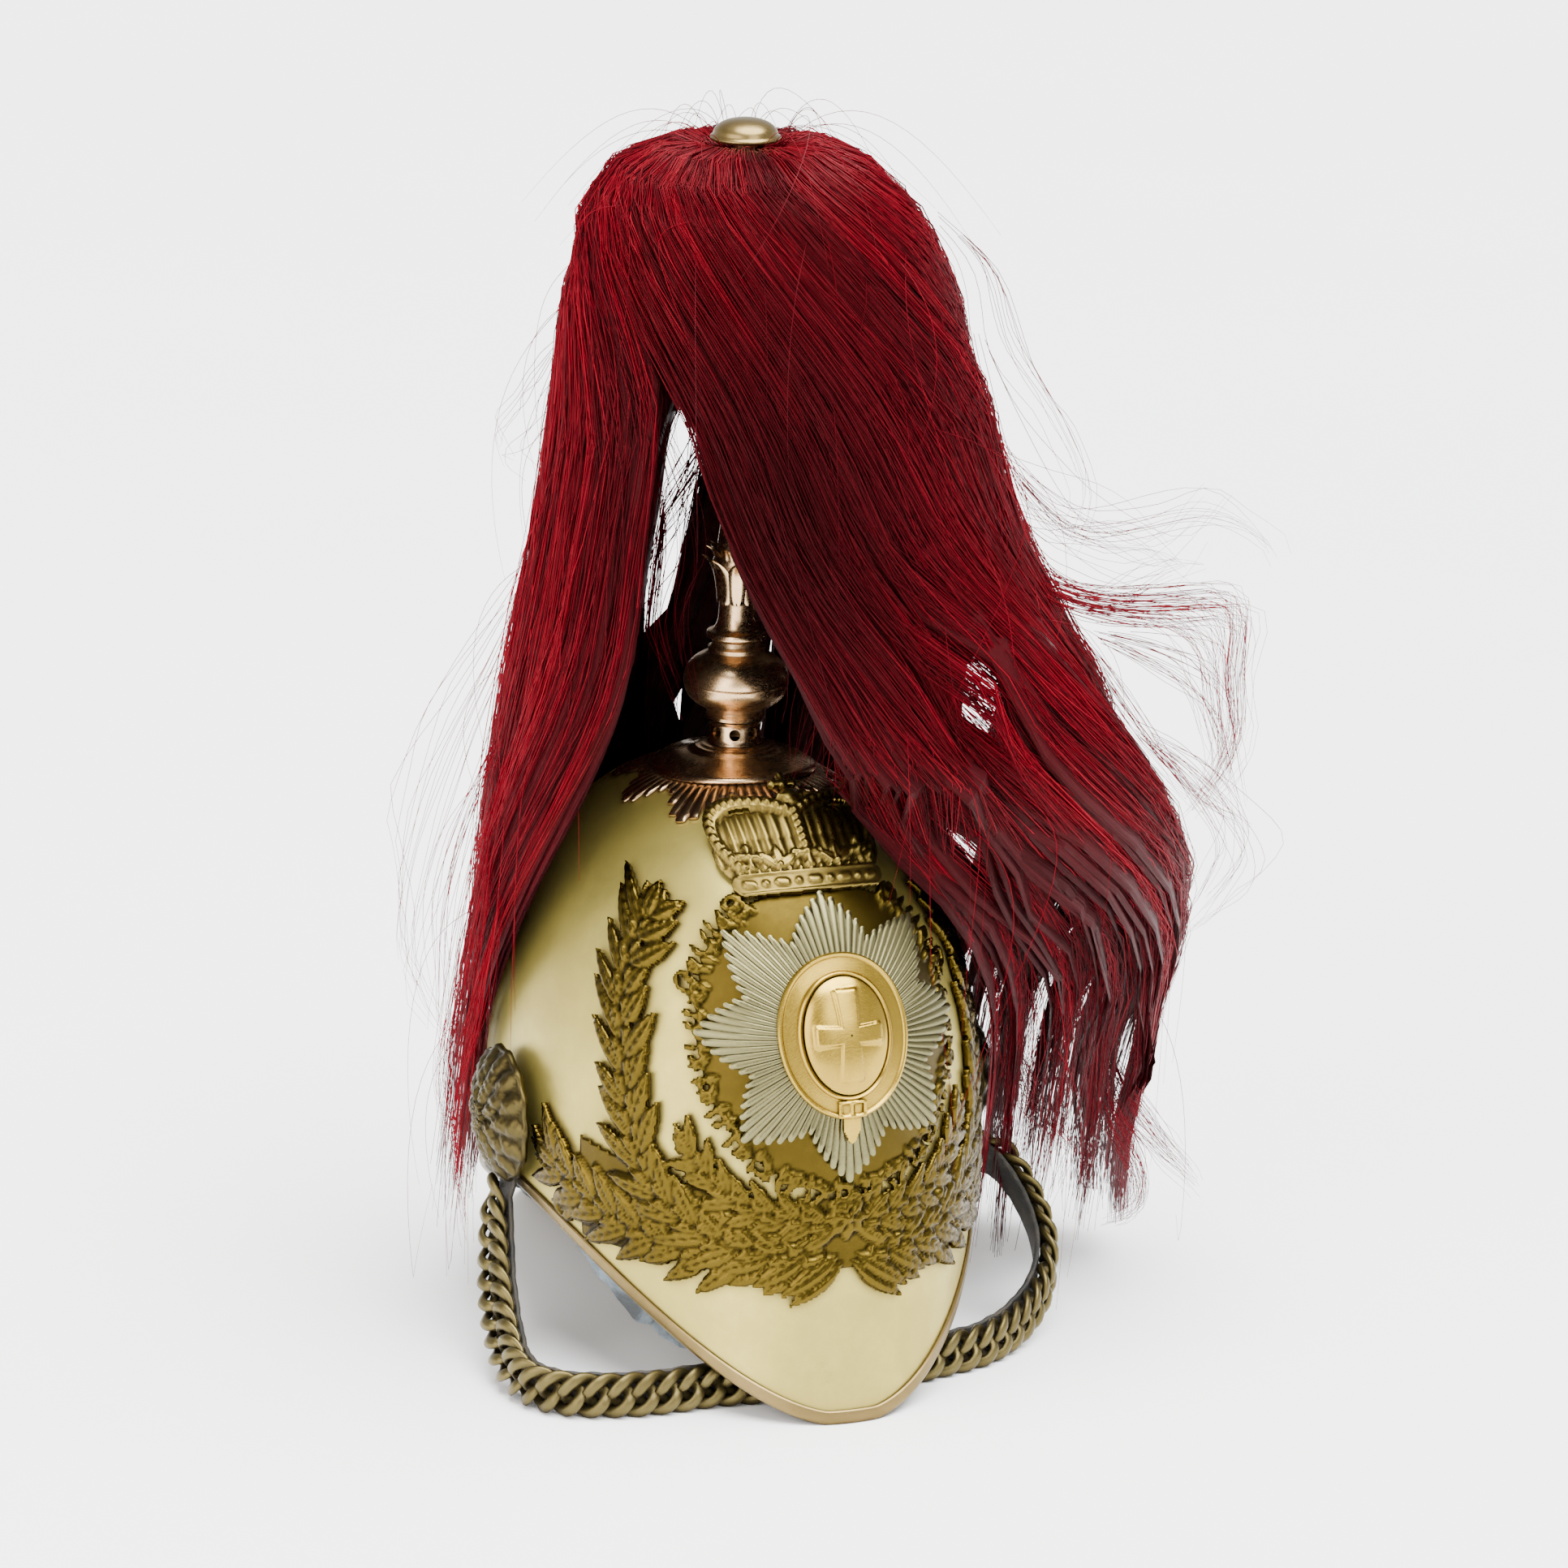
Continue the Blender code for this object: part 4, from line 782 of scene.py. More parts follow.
class Relief:
    """A grid of heights over the plate's coordinates, with what is stamped on it."""

    def __init__(self, low, high, cell):
        self.across = np.arange(low[0], high[0] + cell / 2, cell)
        self.up = np.arange(low[1], high[1] + cell / 2, cell)
        self.cell = cell
        self.height = np.zeros((len(self.up), len(self.across)))

    def window(self, across, up, reach):
        columns = np.searchsorted(self.across, [across - reach, across + reach])
        rows = np.searchsorted(self.up, [up - reach, up + reach])
        part = (slice(rows[0], rows[1]), slice(columns[0], columns[1]))
        grid = np.meshgrid(self.across[part[1]] - across, self.up[part[0]] - up)
        return part, grid[0], grid[1]

    def grid(self):
        return np.meshgrid(self.across, self.up)

    def cells(self):
        """The cells with something stamped at all four corners."""
        full = self.height > 0
        return full[:-1, :-1] & full[1:, 1:] & full[:-1, 1:] & full[1:, :-1]

    def stamp(self, part, height):
        self.height[part] = np.maximum(self.height[part], height)

    def lay(self, part, inside, height):
        """Lays a shape over what is there, so that its edge shows."""
        self.height[part] = np.where(inside, height, self.height[part])

    def leaf(self, across, up, bearing, length, width, rise, base=0.0, veins=True):
        """A pointed leaf from its root, with a sunken midrib and side veins."""
        part, x, y = self.window(across, up, length + width)
        along = (x * math.sin(bearing) + y * math.cos(bearing)) / length
        aside = x * math.cos(bearing) - y * math.sin(bearing)
        inside = (along > 0) & (along < 1)
        along = np.clip(along, 1e-4, 1 - 1e-4)
        half = width / 2 * np.sin(math.pi * along**0.82) ** 0.85
        share = np.abs(aside) / np.maximum(half, 1e-3)
        crown = np.sqrt(np.clip(1 - share**2, 0, 1))
        height = base + 0.3 + rise * (0.6 + 0.4 * np.sin(math.pi * along)) * crown
        groove = np.exp(-((aside / (0.09 * width)) ** 2))
        height = height - rise * 0.34 * groove * (along < 0.9)
        if veins:
            phase = (along * length - np.abs(aside) * 0.9) * TAU / 4.2
            height = height + 0.07 * rise * np.cos(phase) * crown
        self.lay(part, inside & (share < 1), height)

    def dome(self, part, share, rise, base, power=0.5):
        """Stamps a rounded top where the share of the way to its edge is under 1."""
        top = base + rise * np.clip(1 - share**2, 0, 1) ** power
        self.stamp(part, np.where(share < 1, top, 0))

    def ball(self, across, up, radius, rise, base=0.0):
        part, x, y = self.window(across, up, radius * 1.2)
        self.dome(part, np.hypot(x, y) / radius, rise, base)

    def ring(self, across, up, radius, wire, rise, base=0.0):
        part, x, y = self.window(across, up, radius + wire)
        self.dome(part, np.abs(np.hypot(x, y) - radius) / wire, rise, base)

    def flower(self, across, up, radius, petals, rise, turn=0.0, base=0.0):
        part, x, y = self.window(across, up, radius * 1.3)
        reach = np.hypot(x, y)
        bearing = np.arctan2(x, y) + turn
        outline = radius * (0.80 + 0.20 * np.cos(petals * bearing))
        share = reach / outline
        crown = np.sqrt(np.clip(1 - share**2, 0, 1))
        cups = 0.6 + 0.4 * np.cos(petals * bearing)
        swell = 0.4 + 0.6 * np.sin(math.pi * np.clip(share, 0, 1))
        height = base + 0.4 + rise * crown**0.6 * cups * swell
        self.stamp(part, np.where(share < 1, height, 0))
        self.ball(across, up, radius * 0.3, rise * 0.9, base + 0.5)

    def bar(self, path, half_width, rise, base=0.0, flat=0.5):
        """A rounded bar along a path of points."""
        path = np.asarray(path, float)
        for start, end in zip(path, path[1:]):
            middle = (start + end) / 2
            length = np.linalg.norm(end - start)
            part, x, y = self.window(*middle, length / 2 + half_width * 1.2)
            ahead = (end - start) / max(length, 1e-6)
            along = np.clip(x * ahead[0] + y * ahead[1], -length / 2, length / 2)
            share = np.hypot(x - along * ahead[0], y - along * ahead[1]) / half_width
            self.dome(part, share, rise, base, flat)

    def hollow(self):
        """How far each point lies below its surroundings, for the soiling and painted shade in the
        hollows.
        """
        return hollow_of(self.height, max(1, round(1.3 / self.cell)), 0.42)


def blurred(values, reach):
    """A grid averaged twice over squares that reach so many cells each way."""
    result = values.astype(float)
    for axis in (0, 1):
        for _ in range(2):
            padded = np.concatenate(
                [
                    np.repeat(np.take(result, [0], axis), reach, axis),
                    result,
                    np.repeat(np.take(result, [-1], axis), reach, axis),
                ],
                axis,
            )
            total = np.cumsum(np.insert(padded, 0, 0, axis=axis), axis=axis)
            span = 2 * reach + 1
            upper = np.take(total, range(span, total.shape[axis]), axis)
            lower = np.take(total, range(0, total.shape[axis] - span), axis)
            result = (upper - lower) / span
    return result


def hollow_of(height, reach, scale):
    return np.clip((blurred(height, reach) - height) / scale, 0, 1)


def twice(values):
    """An attribute for both faces of a shell."""
    return np.tile(values.ravel(), 2)


def along_path(path, spacing):
    """Points at even steps along a smooth curve through chosen points, with their headings."""
    _, fine = through(path, 16)
    lengths = lengths_of(fine)
    count = max(1, round(lengths[-1] / spacing))
    at = np.linspace(0, lengths[-1], count + 1)
    ahead = read_at(at + 0.3, lengths, fine) - read_at(at - 0.3, lengths, fine)
    return read_at(at, lengths, fine), unit(ahead)


PLATE_GAP = 0.7
PLATE_SHEET = 1.0
PLATE_FACE = PLATE_GAP + PLATE_SHEET
CENTRE_UP = 150.0
LAUREL_PATH = (
    (10, 66), (36, 68), (60, 76), (77, 91), (85, 112), (88, 136), (87, 158), (80, 178), (72, 190),
)
INNER_PATH = ((8, 78), (28, 82), (46, 90), (58, 102))
LOWER_PATH = ((8, 63), (40, 65), (72, 68), (100, 74), (124, 84))
# The garland's half width and half height, and how many leaf pairs and flowers are in it
GARLAND = (56.0, 60.0)
GARLAND_COUNT = 62
GARLAND_OPENING = 0.46
KNOT_UP = 80.0


def stamp_branch(plate, path, side, spacing, length, width, rise, spread, hands=(1, -1), skip=0):
    """Long leaves in pairs along a stem, each overlapping the next one's root."""
    spots, ahead = along_path(path, spacing)
    for place, (spot, direction) in enumerate(zip(spots, ahead)):
        if place < skip:
            continue
        bearing = math.atan2(direction[0], direction[1])
        for hand in hands:
            turn = bearing + hand * (spread + 0.10 * math.sin(2.1 * place + hand))
            shift = (0.5 if hand > 0 else 0.0) * spacing
            root = spot - direction * shift
            size = 1 + 0.10 * math.sin(1.7 * place + 2 * hand)
            plate.leaf(side * root[0], root[1], side * turn, length * size, width, rise, 0.3)
            inner = bearing + hand * spread * 0.42
            onward = root + direction * spacing * 0.35
            plate.leaf(
                side * onward[0], onward[1], side * inner, length * 0.7 * size, width * 0.66, rise, 0.8
            )
    tip = math.atan2(ahead[-1][0], ahead[-1][1])
    plate.leaf(side * spots[-1][0], spots[-1][1], side * tip, length * 0.8, width * 0.9, rise, 0.6)


def build_plate():
    """The stamped plate: laurel branches, a garland round the star, and a knot of leaves below."""
    plate = Relief((-144, 46), (144, 218), 0.95)
    for side in (-1, 1):
        stamp_branch(plate, LOWER_PATH, side, 11.5, 25.0, 8.6, 2.5, 0.66)
        stamp_branch(plate, LAUREL_PATH, side, 12.0, 26.0, 8.2, 2.7, 0.62)
        stamp_branch(plate, INNER_PATH, side, 9.5, 17.0, 6.2, 2.0, 0.7)
        stem, _ = along_path([(side * x, y) for x, y in LAUREL_PATH], 4.0)
        plate.bar(stem, 1.0, 1.9)
        plate.ring(side * 121, 70, 5.0, 2.0, 2.2)
        plate.ring(side * 121, 70, 1.6, 1.6, 1.8)
        plate.ring(side * 58, 168, 3.4, 1.3, 1.8, 0.6)
        plate.ring(side * 32, 200, 3.8, 1.4, 2.0, 0.6)
        plate.ball(side * 32, 200, 1.8, 2.2, 0.6)
    x, y = plate.grid()
    inner = ((x / GARLAND[0]) ** 2 + ((y - CENTRE_UP) / GARLAND[1]) ** 2) < 1
    sheet = np.where(inner & (y < 209), 0.3, 0)
    plate.height = np.maximum(plate.height, sheet)
    low = (np.abs(x) < 112) & (y > 60) & (y < 88 + 0.0010 * x**2)
    plate.height = np.maximum(plate.height, np.where(low, 0.2, 0))
    for place in range(GARLAND_COUNT):
        turn = TAU * (place + 0.5) / GARLAND_COUNT
        if abs(math.remainder(turn, TAU)) < GARLAND_OPENING:
            continue
        middle = (GARLAND[0] * math.sin(turn), CENTRE_UP + GARLAND[1] * math.cos(turn))
        wobble = 2.4 * math.sin(5.3 * place)
        spot = (middle[0] + wobble * math.sin(turn), middle[1] + wobble * math.cos(turn))
        kind = place % 4
        lean = 1.2 + 0.3 * math.sin(3.1 * place)
        for hand in (1, -1):
            bearing = turn + math.pi / 2 + hand * lean
            plate.leaf(*middle, bearing, 6.4, 3.6, 1.3, 0.3, False)
        if kind == 0:
            plate.flower(*spot, 3.6, 5, 1.5, 0.7 * place, 0.8)
        elif kind == 2:
            plate.ring(*spot, 2.2, 1.0, 1.4, 0.9)
            plate.ball(*spot, 1.2, 1.3, 0.9)
        else:
            for dot in range(3):
                aside = 2.1 * dot + place
                berry = (spot[0] + 1.7 * math.cos(aside), spot[1] + 1.7 * math.sin(aside))
                plate.ball(*berry, 1.3, 1.4, 0.9)
    for turn in np.arange(0, TAU, TAU / 8):
        plate.leaf(0.0, KNOT_UP, turn, 9.5, 5.0, 1.5, 0.9)
    plate.flower(0.0, KNOT_UP, 6.5, 6, 2.0, 0.3, 1.4)
    plate.ball(0.0, KNOT_UP, 2.2, 2.6, 1.6)
    height = plate.height
    # The hollows and the flat ground between the ornaments are darkened: soiling and painted shade.
    hollow = np.maximum(plate.hollow(), np.where(height < 0.32, 0.35, 0))
    angle, level = plate_place(x, y)
    level = np.maximum(level, rim_height(angle) + 7.2)
    base = skull_point(angle, level)
    normal = skull_normal(angle, level)
    soft = height + 0.12 * (blurred(height, 1) - height)
    front = base + normal * (PLATE_FACE - 0.5 + soft)[..., None]
    back = base + normal * PLATE_GAP
    points, quads = shell(front, back, plate.cells())
    make_object(
        "laurel_plate", points, [quads], GILT, ("wreath_plate",), {"hollow": twice(hollow)},
        sharp=0,
    )


def polar_grid(shares, stations):
    return np.meshgrid(full_turn(stations), shares)


def in_ray(bearing, rays):
    """The bearing of the ray that a bearing falls in, and its place across it, from -1 to 1."""
    turn = bearing / TAU * rays + 0.5
    return np.floor(turn) / rays * TAU, turn % 1 * 2 - 1


def build_star():
    """Eight points of stepped, round-ended flutes that rise to the middle."""
    rays, per_ray = 96, 8
    shares = np.concatenate([np.linspace(0.28, 0.93, 12), [0.955, 0.975, 0.99, 1.0]])
    bearing, share = polar_grid(shares, rays * per_ray)
    middle, within = in_ray(bearing, rays)
    swing = np.abs(((middle / TAU * 8 + 0.5) % 1) * 2 - 1)
    reach = 55.0 - 16.5 * swing
    reach = reach - 1.5 * within**4 - 1.0 * within**2
    flute = np.sqrt(np.clip(1 - (within * 0.96) ** 2, 0, 1))
    radial = reach * share
    lift = 2.7 * share**3
    rise = 2.2 * (1 - share) + 0.5 + (0.35 + 0.55 * share) * flute
    rise = rise - 0.6 * smooth((share - 0.95) / 0.05)
    back_out = PLATE_FACE + 0.3
    across, up = radial * np.sin(bearing), CENTRE_UP + radial * np.cos(bearing)
    front = plate_point(across, up, back_out + lift + rise)
    back = plate_point(across, up, back_out + lift * 0.9)
    points, quads = shell(front, back, wrap=True)
    # Darker in the grooves between the flutes and towards their points: soiling and painted shade.
    dirt_and_shade = np.clip(1.35 - flute * 1.45, 0, 1) * (0.75 + 0.25 * share)
    make_object(
        "rayed_star", points, [quads], SILVER, ("plate_star",),
        {"hollow": twice(dirt_and_shade)}, sharp=60,
    )


BELT_BACK = PLATE_FACE + 0.3 + PLATE_SHEET + 2.2 + 0.3


def oval_point(bearing, half_width, half_height, proud):
    return plate_point(half_width * np.sin(bearing), CENTRE_UP + half_height * np.cos(bearing), proud)


def build_belt():
    """An oval belt with raised edges, and its free end with a buckle below."""
    half_width, half_height, band, thickness = 24.5, 30.5, 9, 3
    bearing = full_turn(180)
    profile = (
        # share of the band from its outer edge, share of its thickness
        (0.0, 0.0), (0.0, 0.55), (0.05, 0.85), (0.12, 1.0), (0.19, 0.9), (0.24, 0.62), (0.3, 0.6),
        (0.5, 0.66), (0.7, 0.6), (0.76, 0.62), (0.81, 0.9), (0.88, 1.0), (0.95, 0.85), (1.0, 0.55),
        (1.0, 0.0),
    )
    rings = []
    for inset, rise in profile:
        proud = np.full(len(bearing), BELT_BACK + thickness * rise)
        rings.append(oval_point(bearing, half_width - band * inset, half_height - band * inset, proud))
    parts = [loft(np.stack(rings, 1), wrap_rows=True)]
    tail = Relief((-8, 96), (8, 128), 0.5)
    foot = CENTRE_UP - half_height
    tail.bar([(0, foot + 5), (0, foot - 3)], 3.4, 1.0, 1.2, 0.12)
    tail.bar([(-1.2, foot - 4.6), (0, foot - 7.5), (1.2, foot - 4.6)], 1.6, 0.9, 1.2, 0.2)
    buckle = [(x, foot + 4 + y) for x, y in ((-4.6, 2.5), (4.6, 2.5), (4.6, -2.5), (-4.6, -2.5))]
    tail.bar([*buckle, buckle[0]], 0.9, 1.6, 1.7)
    tail.bar([(0, foot + 6), (0, foot + 1)], 0.7, 1.6, 1.8)
    x, y = tail.grid()
    front = plate_point(x, y, BELT_BACK + tail.height)
    back = plate_point(x, y, np.full(x.shape, BELT_BACK))
    parts.append(shell(front, back, tail.cells()))
    points, faces = joined(parts)
    make_object("oval_belt", points, faces, GILT_PLAIN, ("plate_belt",), sharp=50)


def build_oval():
    """A domed oval with a plain cross whose arms widen outward."""
    shares = np.concatenate([np.linspace(0.02, 0.9, 28), [0.94, 0.97, 0.99, 1.0]])
    bearing, share = polar_grid(shares, 128)
    half_width, half_height = 15.2, 21.2
    x = half_width * share * np.sin(bearing)
    y = half_height * share * np.cos(bearing)
    dome = 0.35 + 0.65 * np.sqrt(np.clip(1 - (share * 0.97) ** 2, 0, 1))
    rise = 5.0 * dome
    arm_wide, arm_tall = np.abs(x), np.abs(y)
    tall = smooth((3.3 + 0.07 * arm_tall - arm_wide) / 0.8) * smooth((17.0 - arm_tall) / 1.0)
    wide = smooth((3.3 + 0.07 * arm_wide - arm_tall) / 0.8) * smooth((12.2 - arm_wide) / 1.0)
    rise = rise + 1.3 * np.maximum(tall, wide)
    front = plate_point(x, CENTRE_UP + y, BELT_BACK + rise)
    back = plate_point(x, CENTRE_UP + y, np.full(x.shape, BELT_BACK))
    points, quads = shell(front, back, wrap=True)
    make_object("cross_oval", points, [quads], GILT_PLAIN, ("plate_oval",), sharp=60)


def four_round(x, y, reach):
    """Four points round a middle: above, right, below and left."""
    turns = (math.radians(turn) for turn in (0, 90, 180, 270))
    return [(x + reach * math.sin(turn), y + reach * math.cos(turn)) for turn in turns]


def build_crown():
    """A closed crown: jewelled band, crosses, pearled arches, and a ball and cross on top."""
    crown = Relief((-37, 203), (37, 259), 0.56)
    base = 206.0
    sag = 0.0035
    band = [(x, base + 4.5 - sag * x * x) for x in np.linspace(-27, 27, 19)]
    cap = [(x, base + 20 + 0.315 * math.sqrt(28**2 - x * x)) for x in np.linspace(-26, 26, 15)]
    crown.bar([(x, base + 14) for x in np.linspace(-24, 24, 15)], 11, 1.6, 0.2, 0.4)
    crown.bar(cap, 7.0, 1.6, 0.3, 0.5)
    x, y = crown.grid()
    folds = 0.35 * np.cos(x * TAU / 4.2) * (crown.height > 0) * (y > base + 9)
    crown.height = np.where(crown.height > 0, np.maximum(crown.height + folds, 0.3), 0)
    crown.bar(band, 4.2, 1.0, 1.6, 0.15)
    for offset in (3.8, -3.8):
        crown.bar([(x_, y_ + offset) for x_, y_ in band], 0.8, 1.1, 2.0)
    for place in range(9):
        x_ = -24 + 6 * place
        y_ = base + 4.5 - sag * x_ * x_
        if place % 2:
            crown.ball(x_, y_, 1.5, 1.3, 2.4)
        else:
            crown.bar([(x_ - 1.2, y_), (x_ + 1.2, y_)], 1.6, 1.1, 2.4, 0.3)
    for place in range(15):
        x_ = -27 + 54 * place / 14
        crown.ball(x_, base + 9.8 - sag * x_ * x_, 0.9, 1.0, 2.2)
    for x_, size in ((0, 1.0), (-21.5, 0.85), (21.5, 0.85)):
        y_ = base + 15.5 - 0.004 * x_ * x_
        for tip in four_round(x_, y_, 4.3 * size):
            crown.bar([(x_, y_), tip], 1.5 * size, 1.4, 2.6)
            crown.ball(*tip, 1.9 * size, 1.5, 2.4)
        crown.ball(x_, y_, 1.4 * size, 1.7, 3.0)
    for x_ in (-11, 11):
        y_ = base + 14
        for turn in (-50, 0, 50):
            crown.leaf(x_, y_ - 4, math.radians(turn), 9.5, 4.0, 1.5, 2.0, False)
        crown.ball(x_, y_ - 3, 1.3, 1.4, 2.6)
    arches = (
        [
            (-26, base + 10), (-32, base + 20), (-30.5, base + 30), (-21, base + 36.5),
            (-9, base + 37), (0, base + 33),
        ],
        [(0, base + 19), (0, base + 26), (0, base + 33)],
    )
    for side in (1, -1):
        for path in arches[: 2 if side == 1 else 1]:
            arch = [(side * px, py) for px, py in path]
            crown.bar(along_path(arch, 1.5)[0], 2.7, 1.3, 2.2, 0.25)
            pearls, _ = along_path(arch, 3.1)
            for px, py in pearls:
                crown.ball(px, py, 1.45, 1.7, 3.0)
    crown.ball(0, base + 38.5, 4.3, 4.2, 1.4)
    crown.bar([(-4.2, base + 38.5), (4.2, base + 38.5)], 0.8, 1.2, 4.4)
    for tip in four_round(0, base + 46.2, 3.6):
        crown.bar([(0, base + 46.2), tip], 1.3, 1.4, 1.6)
        crown.ball(*tip, 1.7, 1.6, 1.5)
    lean = 9.0 * np.clip((y - base) / 51, 0, 1.2) ** 1.3
    back_out = PLATE_FACE + 0.3 + lean
    front = plate_point(x, y, back_out + crown.height * 0.9)
    back = plate_point(x, y, back_out)
    points, quads = shell(front, back, crown.cells())
    make_object(
        "arched_crown", points, [quads], CROWN_GILT_PAINTED_LIGHT, ("plate_crown",),
        {"hollow": twice(crown.hollow())}, sharp=0,
    )


build_plate()
build_star()
build_belt()
build_oval()
build_crown()


# Spiked top

BASE_TOP = 234.5
COLLAR_FOOT = BASE_TOP + 0.3
BALL_FOOT = COLLAR_FOOT + 9.3
SOCKET_FOOT = BALL_FOOT + 32.3


def build_base_star():
    """Rays in eight pointed groups under the spike."""
    rays, per_ray = 64, 8
    shares = np.concatenate([np.linspace(0.12, 0.92, 11), [0.95, 0.975, 0.99, 1.0]])
    bearing, share = polar_grid(shares, rays * per_ray)
    middle, within = in_ray(bearing, rays)
    along = np.hypot(46 * np.sin(middle), 56 * np.cos(middle))
    swing = (1 + np.cos(8 * middle)) / 2
    valley = 31.5 + (along - 31.5) * 0.25
    outer = valley + (along - valley) * swing - 1.2 * within**4
    reach = 12 + (outer - 12) * share
    flute = np.sqrt(np.clip(1 - (within * 0.95) ** 2, 0, 1))
    rise = 0.35 + 0.75 * flute - 0.4 * smooth((share - 0.94) / 0.06)
    x, y = reach * np.sin(bearing), -reach * np.cos(bearing)
    level = dome_height(x, y)
    step = 0.3
    slope_x = (dome_height(x + step, y) - dome_height(x - step, y)) / (2 * step)
    slope_y = (dome_height(x, y + step) - dome_height(x, y - step)) / (2 * step)
    normal = unit(np.stack([-slope_x, -slope_y, np.ones(x.shape)], -1))
    ground = np.stack([x, y, level], -1)
    front = ground + normal * (0.5 + rise)[..., None]
    back = ground + normal * 0.35
    points, quads = shell(front, back, wrap=True)
    make_object("base_rays", points, [quads], BRASS, ("base_star",), sharp=60)


def build_base_dome():
    """The flared foot: its edge follows the skull, and its steps rise to the tube."""
    angle = full_turn(96)
    rows = []
    for radius, proud in ((31.5, 2.0), (31.9, 2.7), (31.6, 3.5), (30.6, 4.0), (29.4, 4.1)):
        x, y = radius * np.sin(angle), -radius * np.cos(angle)
        rows.append(np.stack([x, y, dome_height(x, y) + proud], -1))
    for radius, rise in (
        (26, 0.30), (22.5, 0.45), (19, 0.60), (16.5, 0.70), (16.0, 0.80), (15.0, 0.86), (14.0, 0.86),
        (13.4, 0.92), (11.5, 1.0), (9.4, 1.0),
    ):
        level = np.full(len(angle), BASE_TOP - 7.5 + 7.5 * rise)
        rows.append(np.stack([radius * np.sin(angle), -radius * np.cos(angle), level], -1))
    outer = np.array(rows)
    inner = outer.copy()
    inner[..., :2] *= 0.965
    inner[..., 2] -= 0.7
    inner[0, :, 2] = outer[0, :, 2] + 0.1
    points, quads = shell(outer, inner, wrap=True)
    make_object("base_foot", points, [quads], BRASS, ("base_dome",), sharp=50)


def build_collar():
    """A tube pierced by a row of round holes, with a bead at each end."""
    holes, height, hole, middle_radius, reach = 8, 9, 1.9, 10.5, 1.9
    turn, level = np.meshgrid(full_turn(holes * 16), np.linspace(0, height, 20))
    pitch = TAU / holes
    offset = ((turn / pitch) % 1 - 0.5) * pitch * middle_radius
    rise = level - height / 2
    distance = np.maximum(np.hypot(offset, rise), 1e-6)
    inside = distance < hole * 0.75
    # The grid near a hole is pushed out to the hole's edge
    pushed = hole + distance / reach * (1 - 1 / reach)
    scale = np.where(distance < hole * reach, pushed / distance, 1.0)
    turn = turn + offset * (scale - 1) / middle_radius
    level = np.clip(level + rise * (scale - 1), 0, height)
    bead = 0.8 * np.exp(-((level / 0.9) ** 2)) + 0.8 * np.exp(-(((height - level) / 0.9) ** 2))
    outer = around(10.1 + bead, turn, COLLAR_FOOT + level)
    inner = around(8.9, turn, COLLAR_FOOT + level)
    wrapped = np.concatenate([inside, inside[:, :1]], 1)
    blocked = wrapped[:-1, :-1] | wrapped[1:, :-1] | wrapped[:-1, 1:] | wrapped[1:, 1:]
    points, quads = shell(outer, inner, ~blocked, wrap=True)
    make_object("pierced_collar", points, [quads], BRASS, ("vent_collar",), sharp=45)


def build_ball():
    outline = [(4.7, 0.0), (10.4, 0.0), (11.3, 0.4), (11.6, 1.6), (11.0, 2.4), (11.4, 3.0)]
    for t in np.linspace(0.05, 0.95, 26):
        radius = 20.5 * (1 - abs(2 * t - 1) ** 2.3) ** 0.5
        outline.append((max(radius, 11.0), 2.4 + 26.0 * t))
    lower = [point for point in outline if point[1] < 15.2]
    upper = [point for point in outline if point[1] >= 15.2]
    seam = [(20.55, 15.0), (20.2, 15.15), (20.2, 15.35), (20.5, 15.5)]
    neck = [
        (11.0, 28.6), (10.2, 29.2), (9.6, 30.0), (9.7, 31.2), (9.4, 31.8), (8.9, 32.0), (4.7, 32.0)
    ]
    profile = np.array(lower + seam + upper + neck)
    profile[:, 1] += BALL_FOOT
    points, faces = turned(profile, 96)
    make_object("onion_ball", points, faces, BRASS, ("ball",), sharp=50)


def build_socket():
    """Flange and stalk, eight curling leaves, and the cone that holds the hair's rod."""
    bore = 5.0
    profile = round_profile(
        [
            (bore, 0.0), (11.6, 0.0), (11.9, 1.2), (11.6, 2.6), (8.9, 3.6), (7.4, 7.0), (7.0, 13.0),
            (7.6, 20.0), (9.2, 26.0), (9.8, 30.5), (8.6, 33.0), (8.2, 36.0), (6.6, 48.0), (6.0, 53.6),
            (5.4, 54.0), (bore, 54.0),
        ],
        4,
    )
    profile[:, 1] += SOCKET_FOOT
    parts = [turned(profile, 64)]
    s, t = np.meshgrid(np.linspace(0, 1, 14), np.linspace(-1, 1, 9), indexing="ij")
    leaves = 8
    for leaf in range(leaves):
        for scale, foot, lean, aside in ((1.0, 14.0, 1.0, 0.5), (0.72, 24.0, 0.8, 1.0)):
            half = 3.9 * scale * (0.55 + 0.75 * np.sin(math.pi * s**0.8)) * (1 - s**5)
            half = np.maximum(half, 0.05)
            radius = 7.4 + 3.2 * s**1.5 + lean * 4.6 * np.clip(s - 0.55, 0, 1) ** 1.6 * 2.2
            radius = radius + 0.7 * (1 - t**2) - 0.5 * np.exp(-((t / 0.16) ** 2))
            level = SOCKET_FOOT + foot + 20 * scale * (s - 0.42 * np.clip(s - 0.8, 0, 1))
            angle = TAU * (leaf + aside) / leaves + t * half / radius
            outer = around(radius, angle, level)
            inner = around(radius - 0.9, angle, level - 0.2)
            parts.append(shell(outer, inner))
    points, faces = joined(parts)
    make_object("leaf_holder", points, faces, BRASS, ("leaf_socket",), sharp=50)


def build_boss():
    """The round cap nut on top of the hair."""
    outline = [
        (0.05, 0.0), (12.4, 0.0), (13.4, 0.3), (13.7, 1.0), (13.5, 1.7), (12.9, 2.0), (12.6, 2.4)
    ]
    for turn in np.linspace(0.05, 1, 14) * math.pi / 2:
        outline.append((12.4 * math.cos(turn) ** 0.9, 2.4 + 6.1 * math.sin(turn)))
    profile = np.array(outline)
    profile[-1, 0] = 0.05
    profile[:, 1] += 471.3
    points, faces = turned(profile, 64)
    make_object("cap_boss", points, faces, TRIM, ("plume_boss",), sharp=50)


